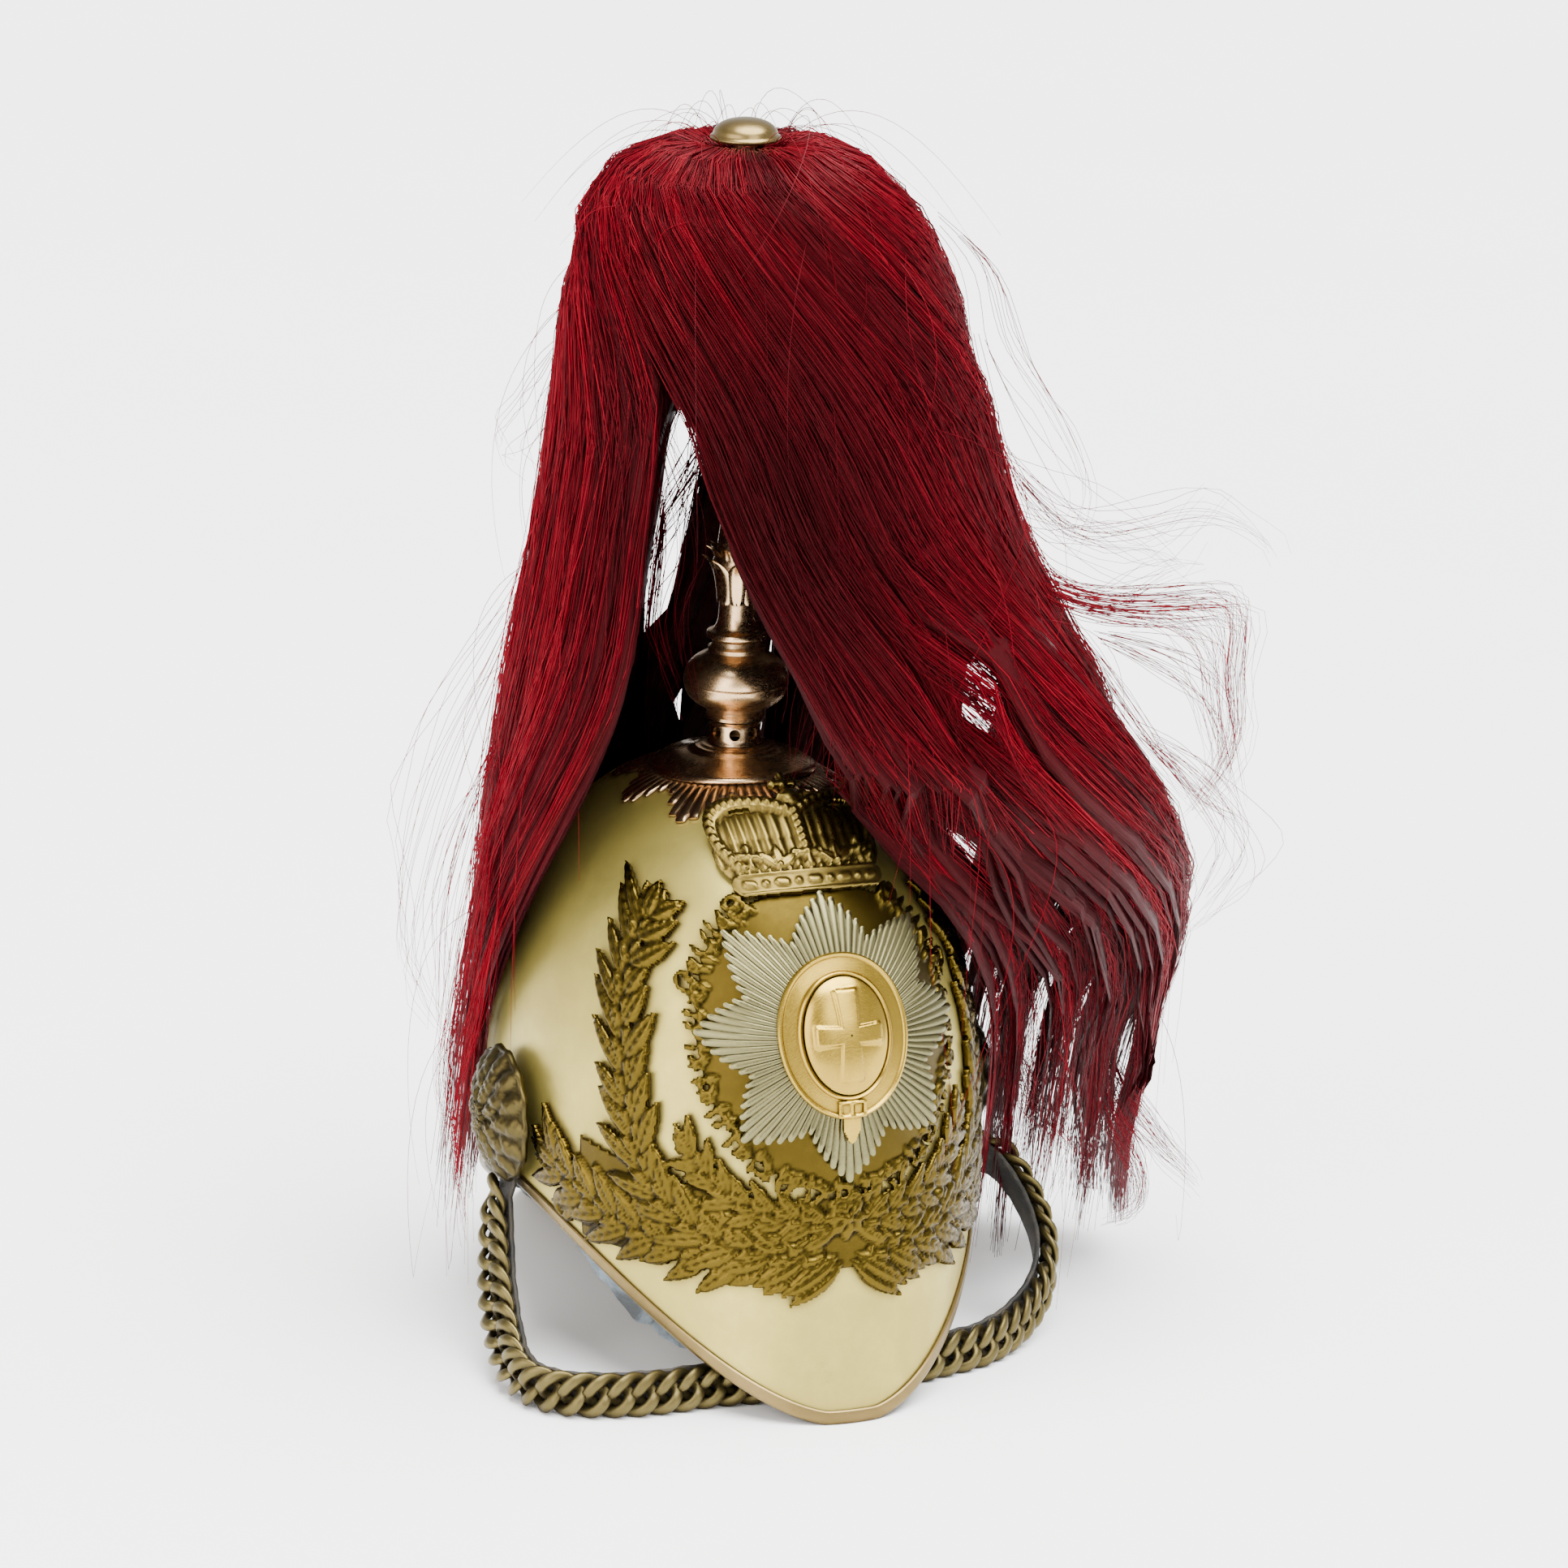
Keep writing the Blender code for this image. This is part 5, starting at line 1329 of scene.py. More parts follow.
build_base_star()
build_base_dome()
build_collar()
build_ball()
build_socket()
build_boss()
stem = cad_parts["plume_stem"]
stem.data.materials.clear()
stem.data.materials.append(BRASS)


# Ears, chain, strap and lining

ROSETTE_BACK = 94.55
ROSETTE_Y, ROSETTE_UP = -4.0, 94.0


def build_rosette(name, cad_node, side):
    """Rings of petals and a berried middle, rubbed and dark."""
    shares = np.concatenate([np.linspace(0.01, 0.93, 34), [0.95, 0.97, 0.985, 1.0]])
    bearing, share = polar_grid(shares, 140)
    dome = 9.6 * (1 - share**2.2) ** 0.85
    relief = np.zeros(share.shape)
    for petals, inner, outer, rise, turn in (
        (14, 0.62, 0.99, 1.7, 0.0), (10, 0.40, 0.76, 2.0, 0.3), (7, 0.16, 0.52, 2.1, 0.1),
    ):
        phase = bearing * petals + turn
        cell = np.cos(phase) * 0.5 + 0.5
        place = (share - inner) / (outer - inner)
        tip = place + 0.28 * (1 - cell)
        body = np.sqrt(np.clip(1 - (2 * np.clip(tip, 0, 1) - 1) ** 2, 0, 1))
        groove = 0.25 * np.exp(-((np.sin(phase / 2) / 0.14) ** 2)) * body
        relief = np.maximum(relief, rise * body * cell**0.6 - groove)
    crumbs = 0.35 * np.sin(bearing * 23 + 9 * share) * np.sin(share * 46 + 3 * np.sin(5 * bearing))
    for ring, count in ((0.0, 1), (0.085, 6), (0.155, 11)):
        for dot in range(count):
            turn = TAU * dot / count + ring * 9
            px, py = ring * math.sin(turn), ring * math.cos(turn)
            away = np.hypot(share * np.sin(bearing) - px, share * np.cos(bearing) - py) / 0.047
            berry = 1.2 + 1.5 * np.sqrt(np.clip(1 - away**2, 0, 1))
            relief = np.maximum(relief, np.where(away < 1, berry, 0))
    rim = 0.9 * np.exp(-(((share - 0.985) / 0.02) ** 2))
    out = ROSETTE_BACK + 0.8 + dome + relief + crumbs * (share > 0.2) * (share < 0.95) + rim
    reach = 26.5 * share * (1 + 0.022 * np.cos(14 * bearing) * share**3)
    y = ROSETTE_Y + reach * np.cos(bearing)
    z = ROSETTE_UP + reach * np.sin(bearing)
    front = np.stack([side * out, y, z], -1)
    back = np.stack([np.full(out.shape, side * ROSETTE_BACK), y, z], -1)
    parts = [shell(front, back, wrap=True)]
    angle = full_turn(24)
    post = []
    for place in (91.2, ROSETTE_BACK - 0.05):
        ring_y = ROSETTE_Y + 4 * np.cos(angle)
        post.append(
            np.stack([np.full(24, side * place), ring_y, ROSETTE_UP + 4 * np.sin(angle)], -1)
        )
    parts.append(loft(np.array(post)))
    points, faces = joined(parts)
    stations = relief.shape[1]
    # The hollows of the relief are darkened: soiling and painted shade.
    low = hollow_of(np.concatenate([relief, relief, relief], 1), 2, 0.45)[:, stations:-stations]
    dirt_and_shade = np.concatenate([twice(low), np.zeros(len(points) - 2 * low.size)])
    make_object(name, points, faces, ROSETTE_BRASS, (cad_node,), {"hollow": dirt_and_shade}, sharp=0)


CHAIN_ROUTE = np.array((
    # x, y, z, and the bearing of the chain's face in degrees
    (-99.6, -4.0, 59.0, -88), (-102.0, -11.0, 45.0, -74), (-106.0, -24.0, 31.0, -58),
    (-109.5, -41.0, 19.0, -46), (-112.0, -60.0, 11.5, -40), (-110.0, -79.0, 9.2, -36),
    (-100.0, -93.0, 9.2, -26), (-82.0, -100.5, 9.2, -14), (-64.0, -102.5, 9.2, -6),
    (-46.0, -101.8, 9.2, -2), (-26.0, -103.5, 9.2, 0), (0.0, -106.0, 9.2, 0),
    (28.0, -104.0, 9.2, 8), (52.0, -98.5, 9.2, 18), (74.0, -91.0, 9.2, 30),
    (94.0, -77.5, 11.5, 44), (110.0, -62.0, 18.5, 60), (118.0, -47.0, 31.0, 72),
    (117.0, -32.0, 46.0, 80), (110.5, -19.0, 58.0, 85), (100.5, -10.5, 62.0, 88),
))
CHAIN_PITCH = 9.3


def route_frames(spacing):
    """Even places along the chain with direction, face and width axes, as in the solid."""
    _, fine = through(CHAIN_ROUTE, 12)
    lengths = lengths_of(fine[:, :3])
    count = max(2, round(lengths[-1] / spacing))
    at = np.linspace(0, lengths[-1], count + 1)
    spot = read_at(at, lengths, fine)
    direction = unit((read_at(at + 0.5, lengths, fine) - read_at(at - 0.5, lengths, fine))[:, :3])
    bearing = np.radians(spot[:, 3])
    face = np.stack([np.sin(bearing), -np.cos(bearing), np.zeros(len(bearing))], 1)
    face = unit(face - direction * (face * direction).sum(1, keepdims=True))
    return spot[:, :3], direction, face, np.cross(direction, face)


def build_chain():
    """Curb links: each ring is twisted so that the row of them lies flat."""
    wire, width, lean, half_thick = 4.3, 17.8, 0.30, 2.1
    spots, direction, face, across = route_frames(CHAIN_PITCH)
    half_long = (CHAIN_PITCH + wire) * 0.62
    half_wide = (width - wire) / 2
    ring, section = full_turn(30), full_turn(9)
    x, y = half_long * np.cos(ring), half_wide * np.sin(ring)
    twist = math.radians(50) * x / half_long
    rise = np.clip(0.92 * y * np.sin(twist), -half_thick, half_thick)
    line = np.stack([x * math.cos(lean) + y * math.sin(lean) * 0.45, y * np.cos(twist), rise], 1)
    tangent = unit(np.roll(line, -1, 0) - np.roll(line, 1, 0))
    side = unit(np.cross(tangent, np.array([0, 0, 1.0])))
    upward = np.cross(side, tangent)
    link = (
        line[:, None]
        + side[:, None] * (wire * 0.56 * np.cos(section))[None, :, None]
        + upward[:, None] * (wire * 0.34 * np.sin(section))[None, :, None]
    )
    parts = []
    for place, spot in enumerate(spots):
        axes = np.stack([direction[place], across[place], face[place]])
        parts.append(loft(link @ axes + spot, wrap_rows=True))
    points, faces = joined(parts)
    points[:, 2] = np.maximum(points[:, 2], 0.0)
    make_object("curb_chain", points, faces, AGED, ("chin_chain",), sharp=0)


def build_strap():
    """Leather behind the chain, with slightly scalloped edges and its ends under the rosettes."""
    step, behind, thickness, half_width = 2.6, 3.7, 2.0, 7.7
    spots, _, face, across = route_frames(step)
    place = np.arange(len(spots))
    corners = (
        # share of the thickness, share of the half width
        (0, 0.92), (0, -0.92), (0.35, -1.0), (0.8, -0.97), (1.0, -0.9), (1.0, 0.9), (0.8, 0.97),
        (0.35, 1.0),
    )
    swell = 1 + 0.03 * np.sin(place * step * TAU / CHAIN_PITCH) + 0.02 * np.sin(place * 0.83)
    edges = []
    for depth, aside in corners:
        outward = across * (half_width * aside * swell)[:, None]
        edges.append(spots - face * (behind + thickness * depth) + outward)
    rows = np.stack(edges, 1)
    ends = []
    for side, index in ((-1, 0), (1, -1)):
        leaving = np.array([0, spots[index, 1], spots[index, 2]])
        post = np.array([0, ROSETTE_Y, ROSETTE_UP]) - leaving
        length = np.linalg.norm(post)
        post = post / length
        beside = np.array([0, post[2], -post[1]])
        if beside @ across[index] < 0:
            beside = -beside
        for along, half in ((length - 28.0, 7.5), (length - 5.5, 5.0)):
            row = []
            for depth, aside in corners:
                spot = leaving + post * along + beside * half * aside
                spot[0] = side * (92.25 + 2.0 - thickness * depth)
                row.append(spot)
            ends.append(np.array(row))
    sections = np.concatenate([[ends[1], ends[0]], rows, [ends[2], ends[3]]])
    points, faces = loft(sections)
    make_object("strap_leather", points, faces, LEATHER, ("chin_strap",), sharp=40)


def build_lining():
    """A head band with a ragged lower edge that shows behind the peak; its blue-grey patches are wear and
    painted sheen.
    """
    angle = full_turn(260)
    brow, top, above_rim = 21, 88.0, 4.2
    low = brow + (EAR_RISE + above_rim - brow) * np.abs(np.sin(angle)) ** 6
    low = np.where(np.cos(angle) < 0, np.maximum(low, rim_height(angle) + above_rim), low)
    for size, times, start in ((0.72, 37, 0), (0.56, 61, 1.3), (0.4, 23, 0.4)):
        low = low + size * np.sin(angle * times + start)
    low = low - 2.0
    front, rear, side = half_axes(BROW)
    depth = np.where(np.cos(angle) >= 0, front, rear)
    wall = np.stack([side * np.sin(angle), -depth * np.cos(angle)], -1)
    inward = unit(-wall)
    outer, inner = [], []
    for share in np.linspace(0, 1, 14):
        level = low + (top - low) * share
        inset = 5.0 if share < 0.6 else 5.0 - 4.55 * (share - 0.6) / 0.4
        wrinkle = 0.35 * np.sin(angle * 29 + 5 * share) * (1 - share)
        for grid, extra in ((outer, 0.0), (inner, 1.6)):
            plan = wall + inward * (SHEET + inset + extra + wrinkle)[:, None]
            grid.append(np.concatenate([plan, level[:, None]], 1))
    points, quads = shell(np.array(outer), np.array(inner), wrap=True)
    make_object("head_band", points, [quads], LINING_LEATHER, ("lining",), sharp=50)


build_rosette("ear_rosette_right", "rosette_right", -1)
build_rosette("ear_rosette_left", "rosette_left", 1)
build_chain()
build_strap()
build_lining()


# Hair

PART = math.radians(-22)
PLUME_TOP = 471.0
PLUME_RADIUS = 100.0
SECTIONS = np.array((
    # height, spread to front, right, rear and left, then how far the parting's edges lie from
    # the camera's side: the edge of the hair that falls to the wearer's left, and to the right
    (0.984, 0.052, 0.052, 0.052, 0.052, -78, 79), (1.000, 0.26, 0.26, 0.28, 0.26, -78, 79),
    (0.979, 0.48, 0.50, 0.53, 0.50, -74, 75), (0.926, 0.62, 0.64, 0.68, 0.72, -54, 55),
    (0.811, 0.67, 0.70, 0.78, 0.92, -22, 27), (0.696, 0.70, 0.76, 0.87, 1.03, -2, 30),
    (0.597, 0.80, 0.85, 0.98, 1.27, 17, 31), (0.514, 0.88, 0.90, 1.12, 1.52, 30, 40),
    (0.367, 0.96, 0.99, 1.30, 1.80, 64, 66), (0.227, 1.02, 1.06, 1.42, 1.93, 88, 88),
    (0.090, 1.05, 1.13, 1.50, 1.97, 96, 90), (0.005, 1.06, 1.14, 1.52, 1.99, 96, 90),
))
LAST_ROW = 10
# Gaps between locks as the photograph shows them: centre and half size in its pixels
GAPS = (
    (829, 625, 13, 155), (1206, 865, 22, 110), (1188, 1035, 16, 70), (1306, 1115, 11, 48),
    (1385, 1300, 15, 45), (838, 868, 10, 50),
)


def row_values(column, at):
    """A column of the hair's sections read smoothly at row positions."""
    return np.interp(at, FINE_ROWS, FINE_SECTIONS[:, column])


FINE_ROWS, FINE_SECTIONS = through(SECTIONS, 10)


def hair_points(share, at, depth):
    """Points of hairs, from the share of the way round the parted head, the row and the depth."""
    share, at, depth = np.broadcast_arrays(share, at, depth)
    height = row_values(0, at) * PLUME_TOP
    open_left, open_right = np.radians(row_values(5, at)), np.radians(row_values(6, at))
    angle = PART + open_left + (TAU - open_left - open_right) * share
    away = angle - PART
    spread = 0
    for column, toward in ((1, 0.0), (2, -math.pi / 2), (3, math.pi), (4, math.pi / 2)):
        spread = spread + row_values(column, at) * np.clip(np.cos(away - toward), 0, None) ** 2
    ridge = np.cos(math.pi * (18 * share + 1)) * smooth(at / 5)
    reach = PLUME_RADIUS * spread * (1 + 0.03 * ridge) - depth * smooth(at / 2)
    ground = plan_radius(angle, height - 12)
    hug = (1 - smooth(share / 0.13)) * smooth((at - 6.2) / 1.6)
    reach = reach + (np.where(ground > 0, ground + 9, reach) - reach) * hug
    reach = np.where(ground > 0, np.maximum(reach, ground + 5.0 - 0.25 * depth), reach)
    reach = np.maximum(reach, 5.2)
    level = height - depth * 0.8 * (1 - smooth((at - 1) / 3))
    return np.stack([reach * np.sin(angle), -reach * np.cos(angle), level], -1)


def open_gaps(points, margin=0.0):
    """Moves hairs sideways, as the camera sees them, out of the gaps between the locks."""
    touched = np.zeros(len(points), bool)
    for gap_x, gap_y, half_x, half_y in GAPS:
        reach = half_x + margin
        pixel_x, pixel_y = pixel_of(points)
        across = (pixel_x - gap_x) / reach
        down = (pixel_y - gap_y) / half_y
        near = (np.abs(down) < 1) & (np.abs(across) < 3)
        touched |= near.any(1)
        lean = np.where(near, across, 0).sum(1) / np.maximum(near.sum(1), 1)
        hand = np.where(lean >= 0, 1.0, -1.0)[:, None]
        width = np.clip(1 - down**2, 0, 1) ** 0.8
        aside = across * hand
        shifted = np.where(aside < 0, width + 0.1 * aside, width + aside * (3 - width) / 3)
        fade = smooth(np.clip(1 + (aside + 1.2) / 1.2, 0, 1))
        beside = (np.abs(down) < 1) & (aside < 3)
        moved = np.where(beside, aside + (shifted - aside) * fade, aside) * hand
        shift = (moved - across) * reach / PIXELS_PER_MM
        points = points + shift[..., None] * RIGHT
    return points, touched


def hair_frames(points):
    """Outward and sideways directions along each hair."""
    tangent = unit(np.gradient(points, axis=1))
    near_top = np.clip((points[..., 2:] - 420) / 50, 0, 1)
    outward = points * np.array([1, 1, 0.0]) + np.array([0, 0, 60.0]) * near_top
    outward = unit(outward - tangent * (outward * tangent).sum(-1, keepdims=True))
    return tangent, outward, np.cross(tangent, outward)


def painted_light_and_shade(tint, points):
    """Tints along hairs with painted shade, darkest at the plume's thick front, and painted light on its
    outer locks.
    """
    aside = points @ RIGHT
    toward = points @ BACK
    # Painted shade in the plume's thick front, as the camera sees it.
    deep = np.exp(-((aside - 22) / 62) ** 2 - ((points[..., 2] - 335) / 105) ** 2)
    deep = deep * smooth((toward + 30) / 60)
    # Painted light on the locks at the camera's left.
    outer = smooth((-aside - 38) / 30)
    return np.clip(tint * (1 - 0.74 * deep) + 0.12 * outer, 0, 1)


def lengths_along(points):
    steps = np.linalg.norm(np.diff(points, axis=1), axis=2)
    return np.concatenate([np.zeros((len(points), 1)), np.cumsum(steps, 1)], 1)


def tubes(points, radius, tints, offset):
    """Points, faces, tints and hair coordinates of three-sided tapering tubes."""
    count, steps = points.shape[:2]
    _, outward, sideways = hair_frames(points)
    turns = math.pi / 2 + np.arange(3) * TAU / 3
    ring = (
        outward[:, :, None] * np.sin(turns)[None, None, :, None]
        + sideways[:, :, None] * np.cos(turns)[None, None, :, None]
    )
    tube = points[:, :, None] + ring * radius[:, :, None, None]
    grid = np.arange(count * steps * 3).reshape(count, steps, 3)
    closed = np.concatenate([grid, grid[:, :, :1]], 2)
    quads = np.stack(
        [closed[:, :-1, :-1], closed[:, :-1, 1:], closed[:, 1:, 1:], closed[:, 1:, :-1]], -1
    ).reshape(-1, 4)
    caps = np.concatenate([grid[:, 0, ::-1], grid[:, -1]])
    shape = (count, steps, 3)
    tint = np.broadcast_to(painted_light_and_shade(tints[:, None], points)[:, :, None], shape).reshape(-1)
    strand = np.stack(
        [
            np.broadcast_to(offset[:, None, None], shape),
            np.broadcast_to(lengths_along(points)[:, :, None], shape),
            np.zeros(shape),
        ],
        -1,
    ).reshape(-1, 3)
    return tube.reshape(-1, 3), [quads, caps], tint, strand


def hair_object(name, groups, material=HAIR, replaces=()):
    """One object from several groups of hairs."""
    points, faces = joined([(group[0], group[1]) for group in groups])
    tint = np.concatenate([group[2] for group in groups])
    strand = np.concatenate([group[3] for group in groups])
    attributes = {"tint": tint, "strand": strand}
    make_object(name, points, faces, material, replaces, attributes, sharp=0)


class Sway:
    """Smooth random sway along hairs, nothing at the root."""

    def __init__(self, count, size, cycles):
        self.phases = RANDOM.uniform(0, TAU, (2, count, 1))
        self.rate = RANDOM.uniform(cycles * 0.6, cycles * 1.4, (count, 1))
        self.amount = RANDOM.normal(0, size, (count, 1))

    def at(self, along):
        first, second = self.phases
        slow = np.sin(TAU * self.rate * along + first) - np.sin(first)
        quick = 0.4 * np.sin(TAU * 2.3 * self.rate * along + second)
        return self.amount * (slow + quick) * smooth(along * 1.6)


LOCKS = 96
LOCK_SHARES = (np.arange(LOCKS) + 0.5) / LOCKS
LOCK_SWAY = RANDOM.normal(0, 1, LOCKS)
LOCK_PHASE = RANDOM.uniform(0, TAU, LOCKS)
LOCK_TINT = RANDOM.normal(0, 0.17, LOCKS)
LOCK_END = LAST_ROW - 0.25 + 0.25 * np.sin(np.arange(LOCKS) * 2.399)
LOCK_END += RANDOM.uniform(-0.5, 0.3, LOCKS)
# The locks that fall past the wearer's left ear are the longest
LOCK_END += 0.75 * np.exp(-(((LOCK_SHARES - 0.16) / 0.12) ** 2))


def lock_of(share):
    return np.clip((share * LOCKS).astype(int), 0, LOCKS - 1)


def lock_share(share, at, tightness=0.6):
    """Hairs gather towards the middle of their lock on the way down, and locks wander."""
    lock = lock_of(share)
    wander = 0.0065 * LOCK_SWAY[lock] + 0.0035 * np.sin(1.1 * at + LOCK_PHASE[lock])
    middle = LOCK_SHARES[lock] + wander * smooth((at - 1.5) / 6)
    tightness = tightness * (1 - 0.7 * np.exp(-(((share - 0.17) / 0.13) ** 2)))
    return middle + (share - LOCK_SHARES[lock]) * (1 - tightness * smooth((at - 4.5) / 5.5))


def build_locks():
    """Ridged locks under the loose hairs, which give the plume its body; their dark tint, darker in the
    deeper layer, is painted shade.
    """
    steps, sides = 30, 6
    turns = full_turn(sides)
    groups = []
    for layer, depth in enumerate((4.5, 9.0)):
        share = np.clip(LOCK_SHARES + (0.5 / LOCKS if layer else 0), 0.006, 0.994)
        end = LOCK_END - 0.6 - 0.3 * layer
        at = 0.02 + (end[:, None] - 0.02) * np.linspace(0, 1, steps)[None] ** 0.92
        gathered = lock_share(np.broadcast_to(share[:, None], at.shape), at)
        centre = hair_points(gathered, at, depth + 1.2 * np.sin(np.arange(LOCKS) * 2.3)[:, None])
        centre, _ = open_gaps(centre, 15.0)
        _, outward, sideways = hair_frames(centre)
        along = np.linspace(0, 1, steps)[None]
        girth = np.linalg.norm(centre[..., :2], axis=-1) * TAU / LOCKS
        half = np.clip(girth * 0.88, 0.5, 12.0) * (1 - 0.95 * smooth((along - 0.82) / 0.18))
        thick = np.clip(girth * 0.45, 0.5, 1.8) * (1 - 0.9 * smooth((along - 0.55) / 0.45))
        section = (
            sideways[:, :, None] * (half[:, :, None] * np.cos(turns))[..., None]
            + outward[:, :, None] * (thick[:, :, None] * np.sin(turns))[..., None]
        )
        solid = centre[:, :, None] + section
        length = lengths_along(centre)
        for place in range(LOCKS):
            points, faces = loft(solid[place])
            across = np.cos(turns) * 6 + place * 13.7 + layer * 7
            strand = np.stack(
                [np.tile(across, steps), np.repeat(length[place], sides), np.zeros(steps * sides)], 1
            )
            # Dark tints, darker for the deeper layer: painted shade inside the plume.
            tint = painted_light_and_shade(np.full(len(points), 0.22 - 0.12 * layer), points)
            groups.append((points, faces, tint, np.concatenate([strand, strand[[0, -1]]])))
    hair_object("plume_locks", groups, LOCK_HAIR, ("plume",))


def crowded(count):
    """Places round the head, with more hairs where the long locks fall."""
    spots = np.linspace(0.001, 0.999, 400)
    weight = 1 + 2.2 * np.exp(-(((spots - 0.17) / 0.13) ** 2))
    weight = weight + 0.35 * np.exp(-(((spots - 0.9) / 0.1) ** 2))
    total = np.concatenate([[0], np.cumsum((weight[1:] + weight[:-1]) / 2)])
    return np.sort(np.interp(RANDOM.uniform(0, total[-1], count), total, spots))


def build_strands():
    """Single hairs over the locks, in three pieces from the surface inwards."""
    fine = 37
    along = np.linspace(0, 1, fine)[None]
    layers = (
        # how many, depths, tint, lower for the deeper layers as painted shade, and how far the tints
        # differ
        (1750, (-0.8, 1.6), 0.72, 0.16), (1250, (0.8, 4.5), 0.52, 0.15), (850, (4.0, 9.0), 0.30, 0.12),
    )
    for number, (count, deep, tint, spread_tint) in enumerate(layers):
        share = crowded(count)
        lock = lock_of(share)
        end = LOCK_END[lock] + RANDOM.normal(0, 0.22, count) - RANDOM.exponential(0.3, count)
        end = np.clip(end, 7.2, LAST_ROW + 0.6)
        at = 0.02 + (end[:, None] - 0.02) * along**0.9
        gathered = lock_share(np.broadcast_to(share[:, None], at.shape), at)
        stray = RANDOM.uniform(0, 1, (count, 1)) < 0.2
        gathered = gathered + Sway(count, 0.0028, 1.1).at(along)
        gathered = gathered + np.where(stray, Sway(count, 0.02, 0.7).at(along), 0)
        depth = RANDOM.uniform(*deep, (count, 1)) + Sway(count, 0.9, 1.4).at(along)
        depth = np.where(stray & (number == 0), depth - 1.2, depth)
        points = hair_points(np.clip(gathered, 0.0, 1.0), at, depth)
        points, touched = open_gaps(points)
        radius = RANDOM.uniform(0.17, 0.33, (count, 1)) * (1 - 0.6 * along**3)
        tints = np.clip(tint + LOCK_TINT[lock] + RANDOM.normal(0, spread_tint, count), 0, 1)
        offset = np.arange(count) * 3.7
        groups = []
        for chosen, step in ((touched, 2), (~touched, 3)):
            spots, widths = points[chosen][:, ::step], radius[chosen][:, ::step]
            groups.append(tubes(spots, widths, tints[chosen], offset[chosen]))
        hair_object(f"plume_hair_{number + 1}", groups)


def beside_guide(guides, count, spread, steps):
    """Hairs round a guide curve given as points, each a little apart from it."""
    guide, _ = along_path(guides, 4.0)
    start = RANDOM.uniform(0, 0.12, (count, 1))
    finish = RANDOM.uniform(0.75, 1.0, (count, 1))
    at = (start + (finish - start) * np.linspace(0, 1, steps)[None]) * (len(guide) - 1)
    base = np.stack([np.interp(at, np.arange(len(guide)), guide[:, axis]) for axis in range(3)], -1)
    shift = RANDOM.normal(0, 1, (count, 1, 3)) * spread[None, :, None]
    along = np.linspace(0, 1, steps)[None]
    sway = np.stack([Sway(count, 1.3, 1.2).at(along) for _ in range(3)], -1)
    return base + shift + sway


# Looping and trailing locks as the photograph shows them: a path in its pixels, how far the hairs
# lie apart and how many there are, and how far in front of the axis they hang
WISPS = (
    (((1218, 640), (1262, 702), (1330, 738), (1420, 745), (1500, 740), (1527, 760), (1520, 830),
      (1524, 900), (1500, 960), (1455, 1010)), 4.0, 44, 10),
    (((1225, 660), (1300, 730), (1380, 752), (1450, 760), (1492, 800), (1500, 880), (1530, 1000),
      (1534, 1030)), 4.5, 26, 14),
    (((1240, 700), (1330, 800), (1400, 900), (1470, 980), (1530, 1015), (1535, 1030)), 5.0, 26, 5),
    (((1250, 640), (1300, 700), (1370, 730), (1440, 700), (1500, 690)), 5.0, 10, 5),
    (((640, 900), (600, 1050), (570, 1200), (545, 1320), (556, 1400), (575, 1440)), 2.6, 30, 20),
    (((620, 1100), (590, 1250), (560, 1380), (572, 1470), (578, 1540)), 2.6, 14, 20),
    (((1340, 1250), (1390, 1360), (1440, 1420), (1470, 1450), (1478, 1465)), 3.2, 40, -95),
    (((1330, 1280), (1370, 1380), (1400, 1440), (1395, 1490), (1350, 1508)), 3.2, 40, -88),
    (((1240, 1260), (1270, 1350), (1310, 1400), (1330, 1425)), 3.0, 30, -70),
    (((1150, 260), (1215, 330), (1245, 430), (1300, 520), (1335, 610), (1300, 700)), 7.0, 9, 0),
    (((1190, 380), (1215, 520), (1260, 600), (1330, 660), (1430, 690), (1520, 600)), 8.0, 9, 0),
    (((1200, 480), (1240, 600), (1300, 640), (1400, 660), (1480, 720)), 9.0, 9, 0),
    (((1230, 560), (1330, 640), (1480, 620), (1560, 660), (1575, 700)), 6.0, 10, 0),
    (((1350, 780), (1420, 800), (1490, 840), (1510, 930), (1470, 1000)), 7.0, 22, 10),
    (((1400, 900), (1470, 960), (1520, 1040), (1490, 1100), (1450, 1150)), 7.0, 18, 5),
    (((690, 420), (640, 500), (612, 540), (640, 590)), 5.0, 8, 0),
    (((660, 700), (610, 820), (560, 930), (520, 1050), (500, 1180), (560, 1290)), 8.0, 16, 10),
    (((640, 860), (600, 960), (560, 1100), (548, 1240), (560, 1330)), 6.0, 18, 10),
    (((1090, 700), (1040, 800), (1000, 880), (980, 960)), 6.0, 12, 75),
    (((800, 500), (830, 640), (820, 760), (850, 880)), 7.0, 16, 60),
)


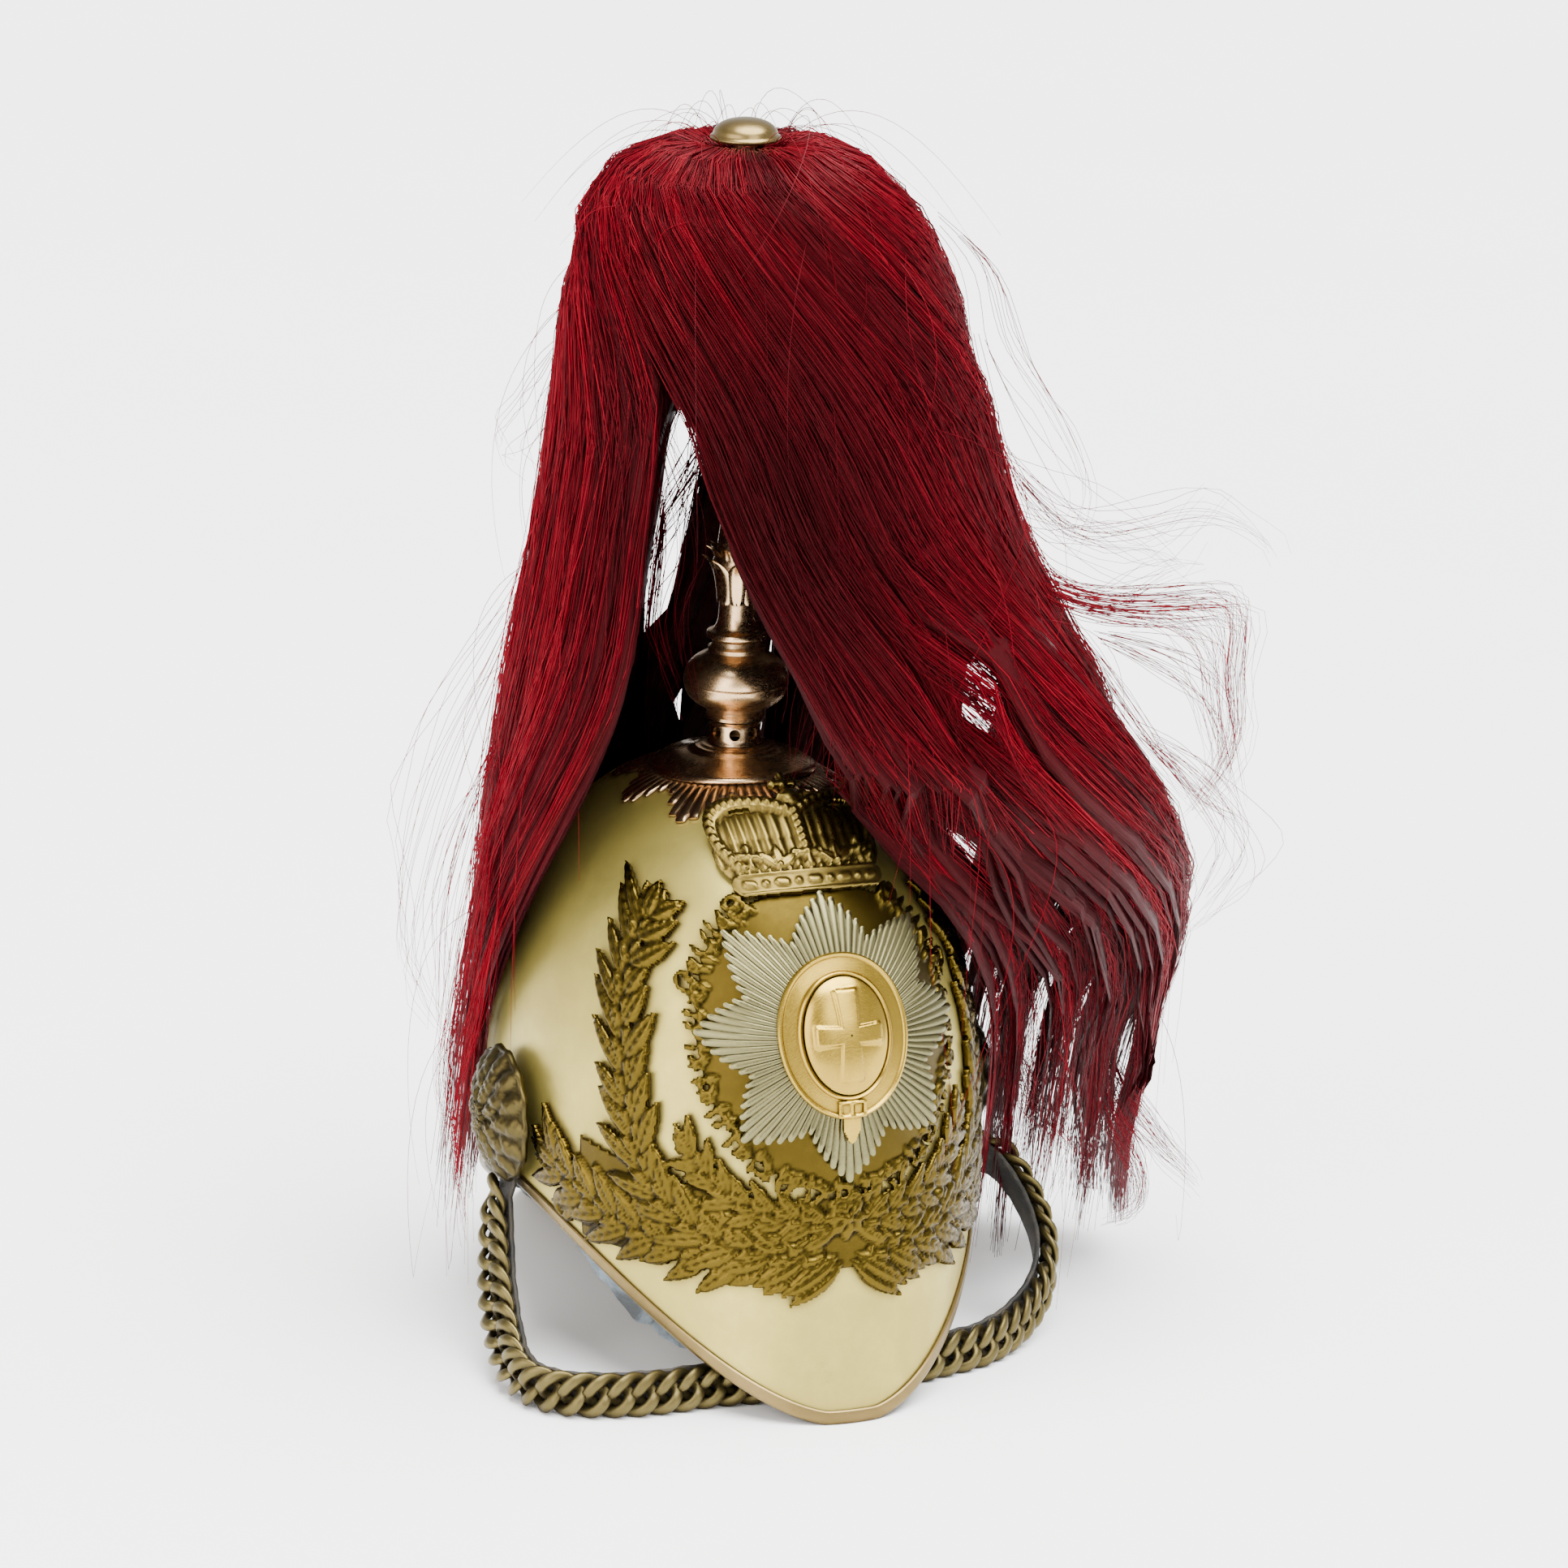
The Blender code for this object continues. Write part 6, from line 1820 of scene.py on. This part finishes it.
def loose_hairs(steps):
    """Single hairs that leave the plume, curl out and fall."""
    count = 190
    along = np.linspace(0, 1, steps)[None]
    start = RANDOM.uniform(1.5, 9.0, count)
    root = hair_points(RANDOM.uniform(0.04, 0.96, count), start, np.zeros(count))
    heading = unit(root * np.array([1, 1, 0.0]) + RANDOM.normal(0, 25, (count, 3)))
    reach = RANDOM.gamma(2.0, 7.0, count).clip(4, 34)[:, None]
    length = RANDOM.uniform(60, 170, (count, 1))
    curl = RANDOM.uniform(0.2, 1.5, (count, 1)) * RANDOM.choice([-1, 1], (count, 1))
    beside = np.stack([-heading[:, 1], heading[:, 0], np.zeros(count)], 1)
    out = reach * np.sin(math.pi * np.clip(along * 0.75, 0, 1))
    swing = reach * 0.8 * np.sin(curl * math.pi * along)
    fall = -length * (along - 0.18 * np.sin(math.pi * along))
    return (
        root[:, None]
        + heading[:, None] * out[..., None]
        + beside[:, None] * swing[..., None]
        + np.array([0, 0, 1.0]) * fall[..., None]
    )


def crest_hairs(steps):
    """Short hairs that arch over the top of the plume."""
    count = 40
    arc = np.linspace(0, 1, steps)[None]
    turn = RANDOM.uniform(0, TAU, (count, 1))
    lift = RANDOM.uniform(6, 24, (count, 1)) * np.sin(math.pi * arc**0.8)
    span = 14 + RANDOM.uniform(30, 85, (count, 1)) * arc
    bend = turn + RANDOM.normal(0, 0.5, (count, 1)) * arc
    return np.stack([span * np.sin(bend), -span * np.cos(bend), 468 + lift - 30 * arc**2], -1)


def build_wisps():
    """Looping and loose hairs, kept near the CAD box and out of the skull."""
    steps = 17
    share = np.linspace(0, 1, steps)
    rows = []
    for path, width, count, toward in WISPS:
        pixels = np.array(path, float)
        guide = seen_at(pixels[:, 0], pixels[:, 1], float(toward))
        rows.append(beside_guide(guide, count, width * (0.35 + 0.65 * np.sin(math.pi * share)), steps))
    rows.append(loose_hairs(steps))
    rows.append(crest_hairs(steps))
    points = np.concatenate(rows)
    margin = 14
    low = (np.array(cad_box[0], float) - AXIS) * 1000 - margin
    high = (np.array(cad_box[1], float) - AXIS) * 1000 + margin
    low[2] = 0.4
    points = low + np.abs(points - low)
    points = high - np.abs(high - points)
    angle = np.arctan2(points[..., 0], -points[..., 1])
    ground = plan_radius(angle, points[..., 2]) + 3
    reach = np.hypot(points[..., 0], points[..., 1])
    sunk = (points[..., 2] > rim_height(angle)) & (reach < ground)
    points[..., :2] *= np.where(sunk, ground / np.maximum(reach, 1), 1.0)[..., None]
    radius = np.full((len(points), 1), 0.16) * (1 - 0.6 * share[None] ** 2)
    tints = RANDOM.uniform(0.6, 1.0, len(points))
    hair_object("plume_wisps", [tubes(points, radius, tints, np.arange(len(points)) * 2.9)])


build_locks()
build_strands()
build_wisps()
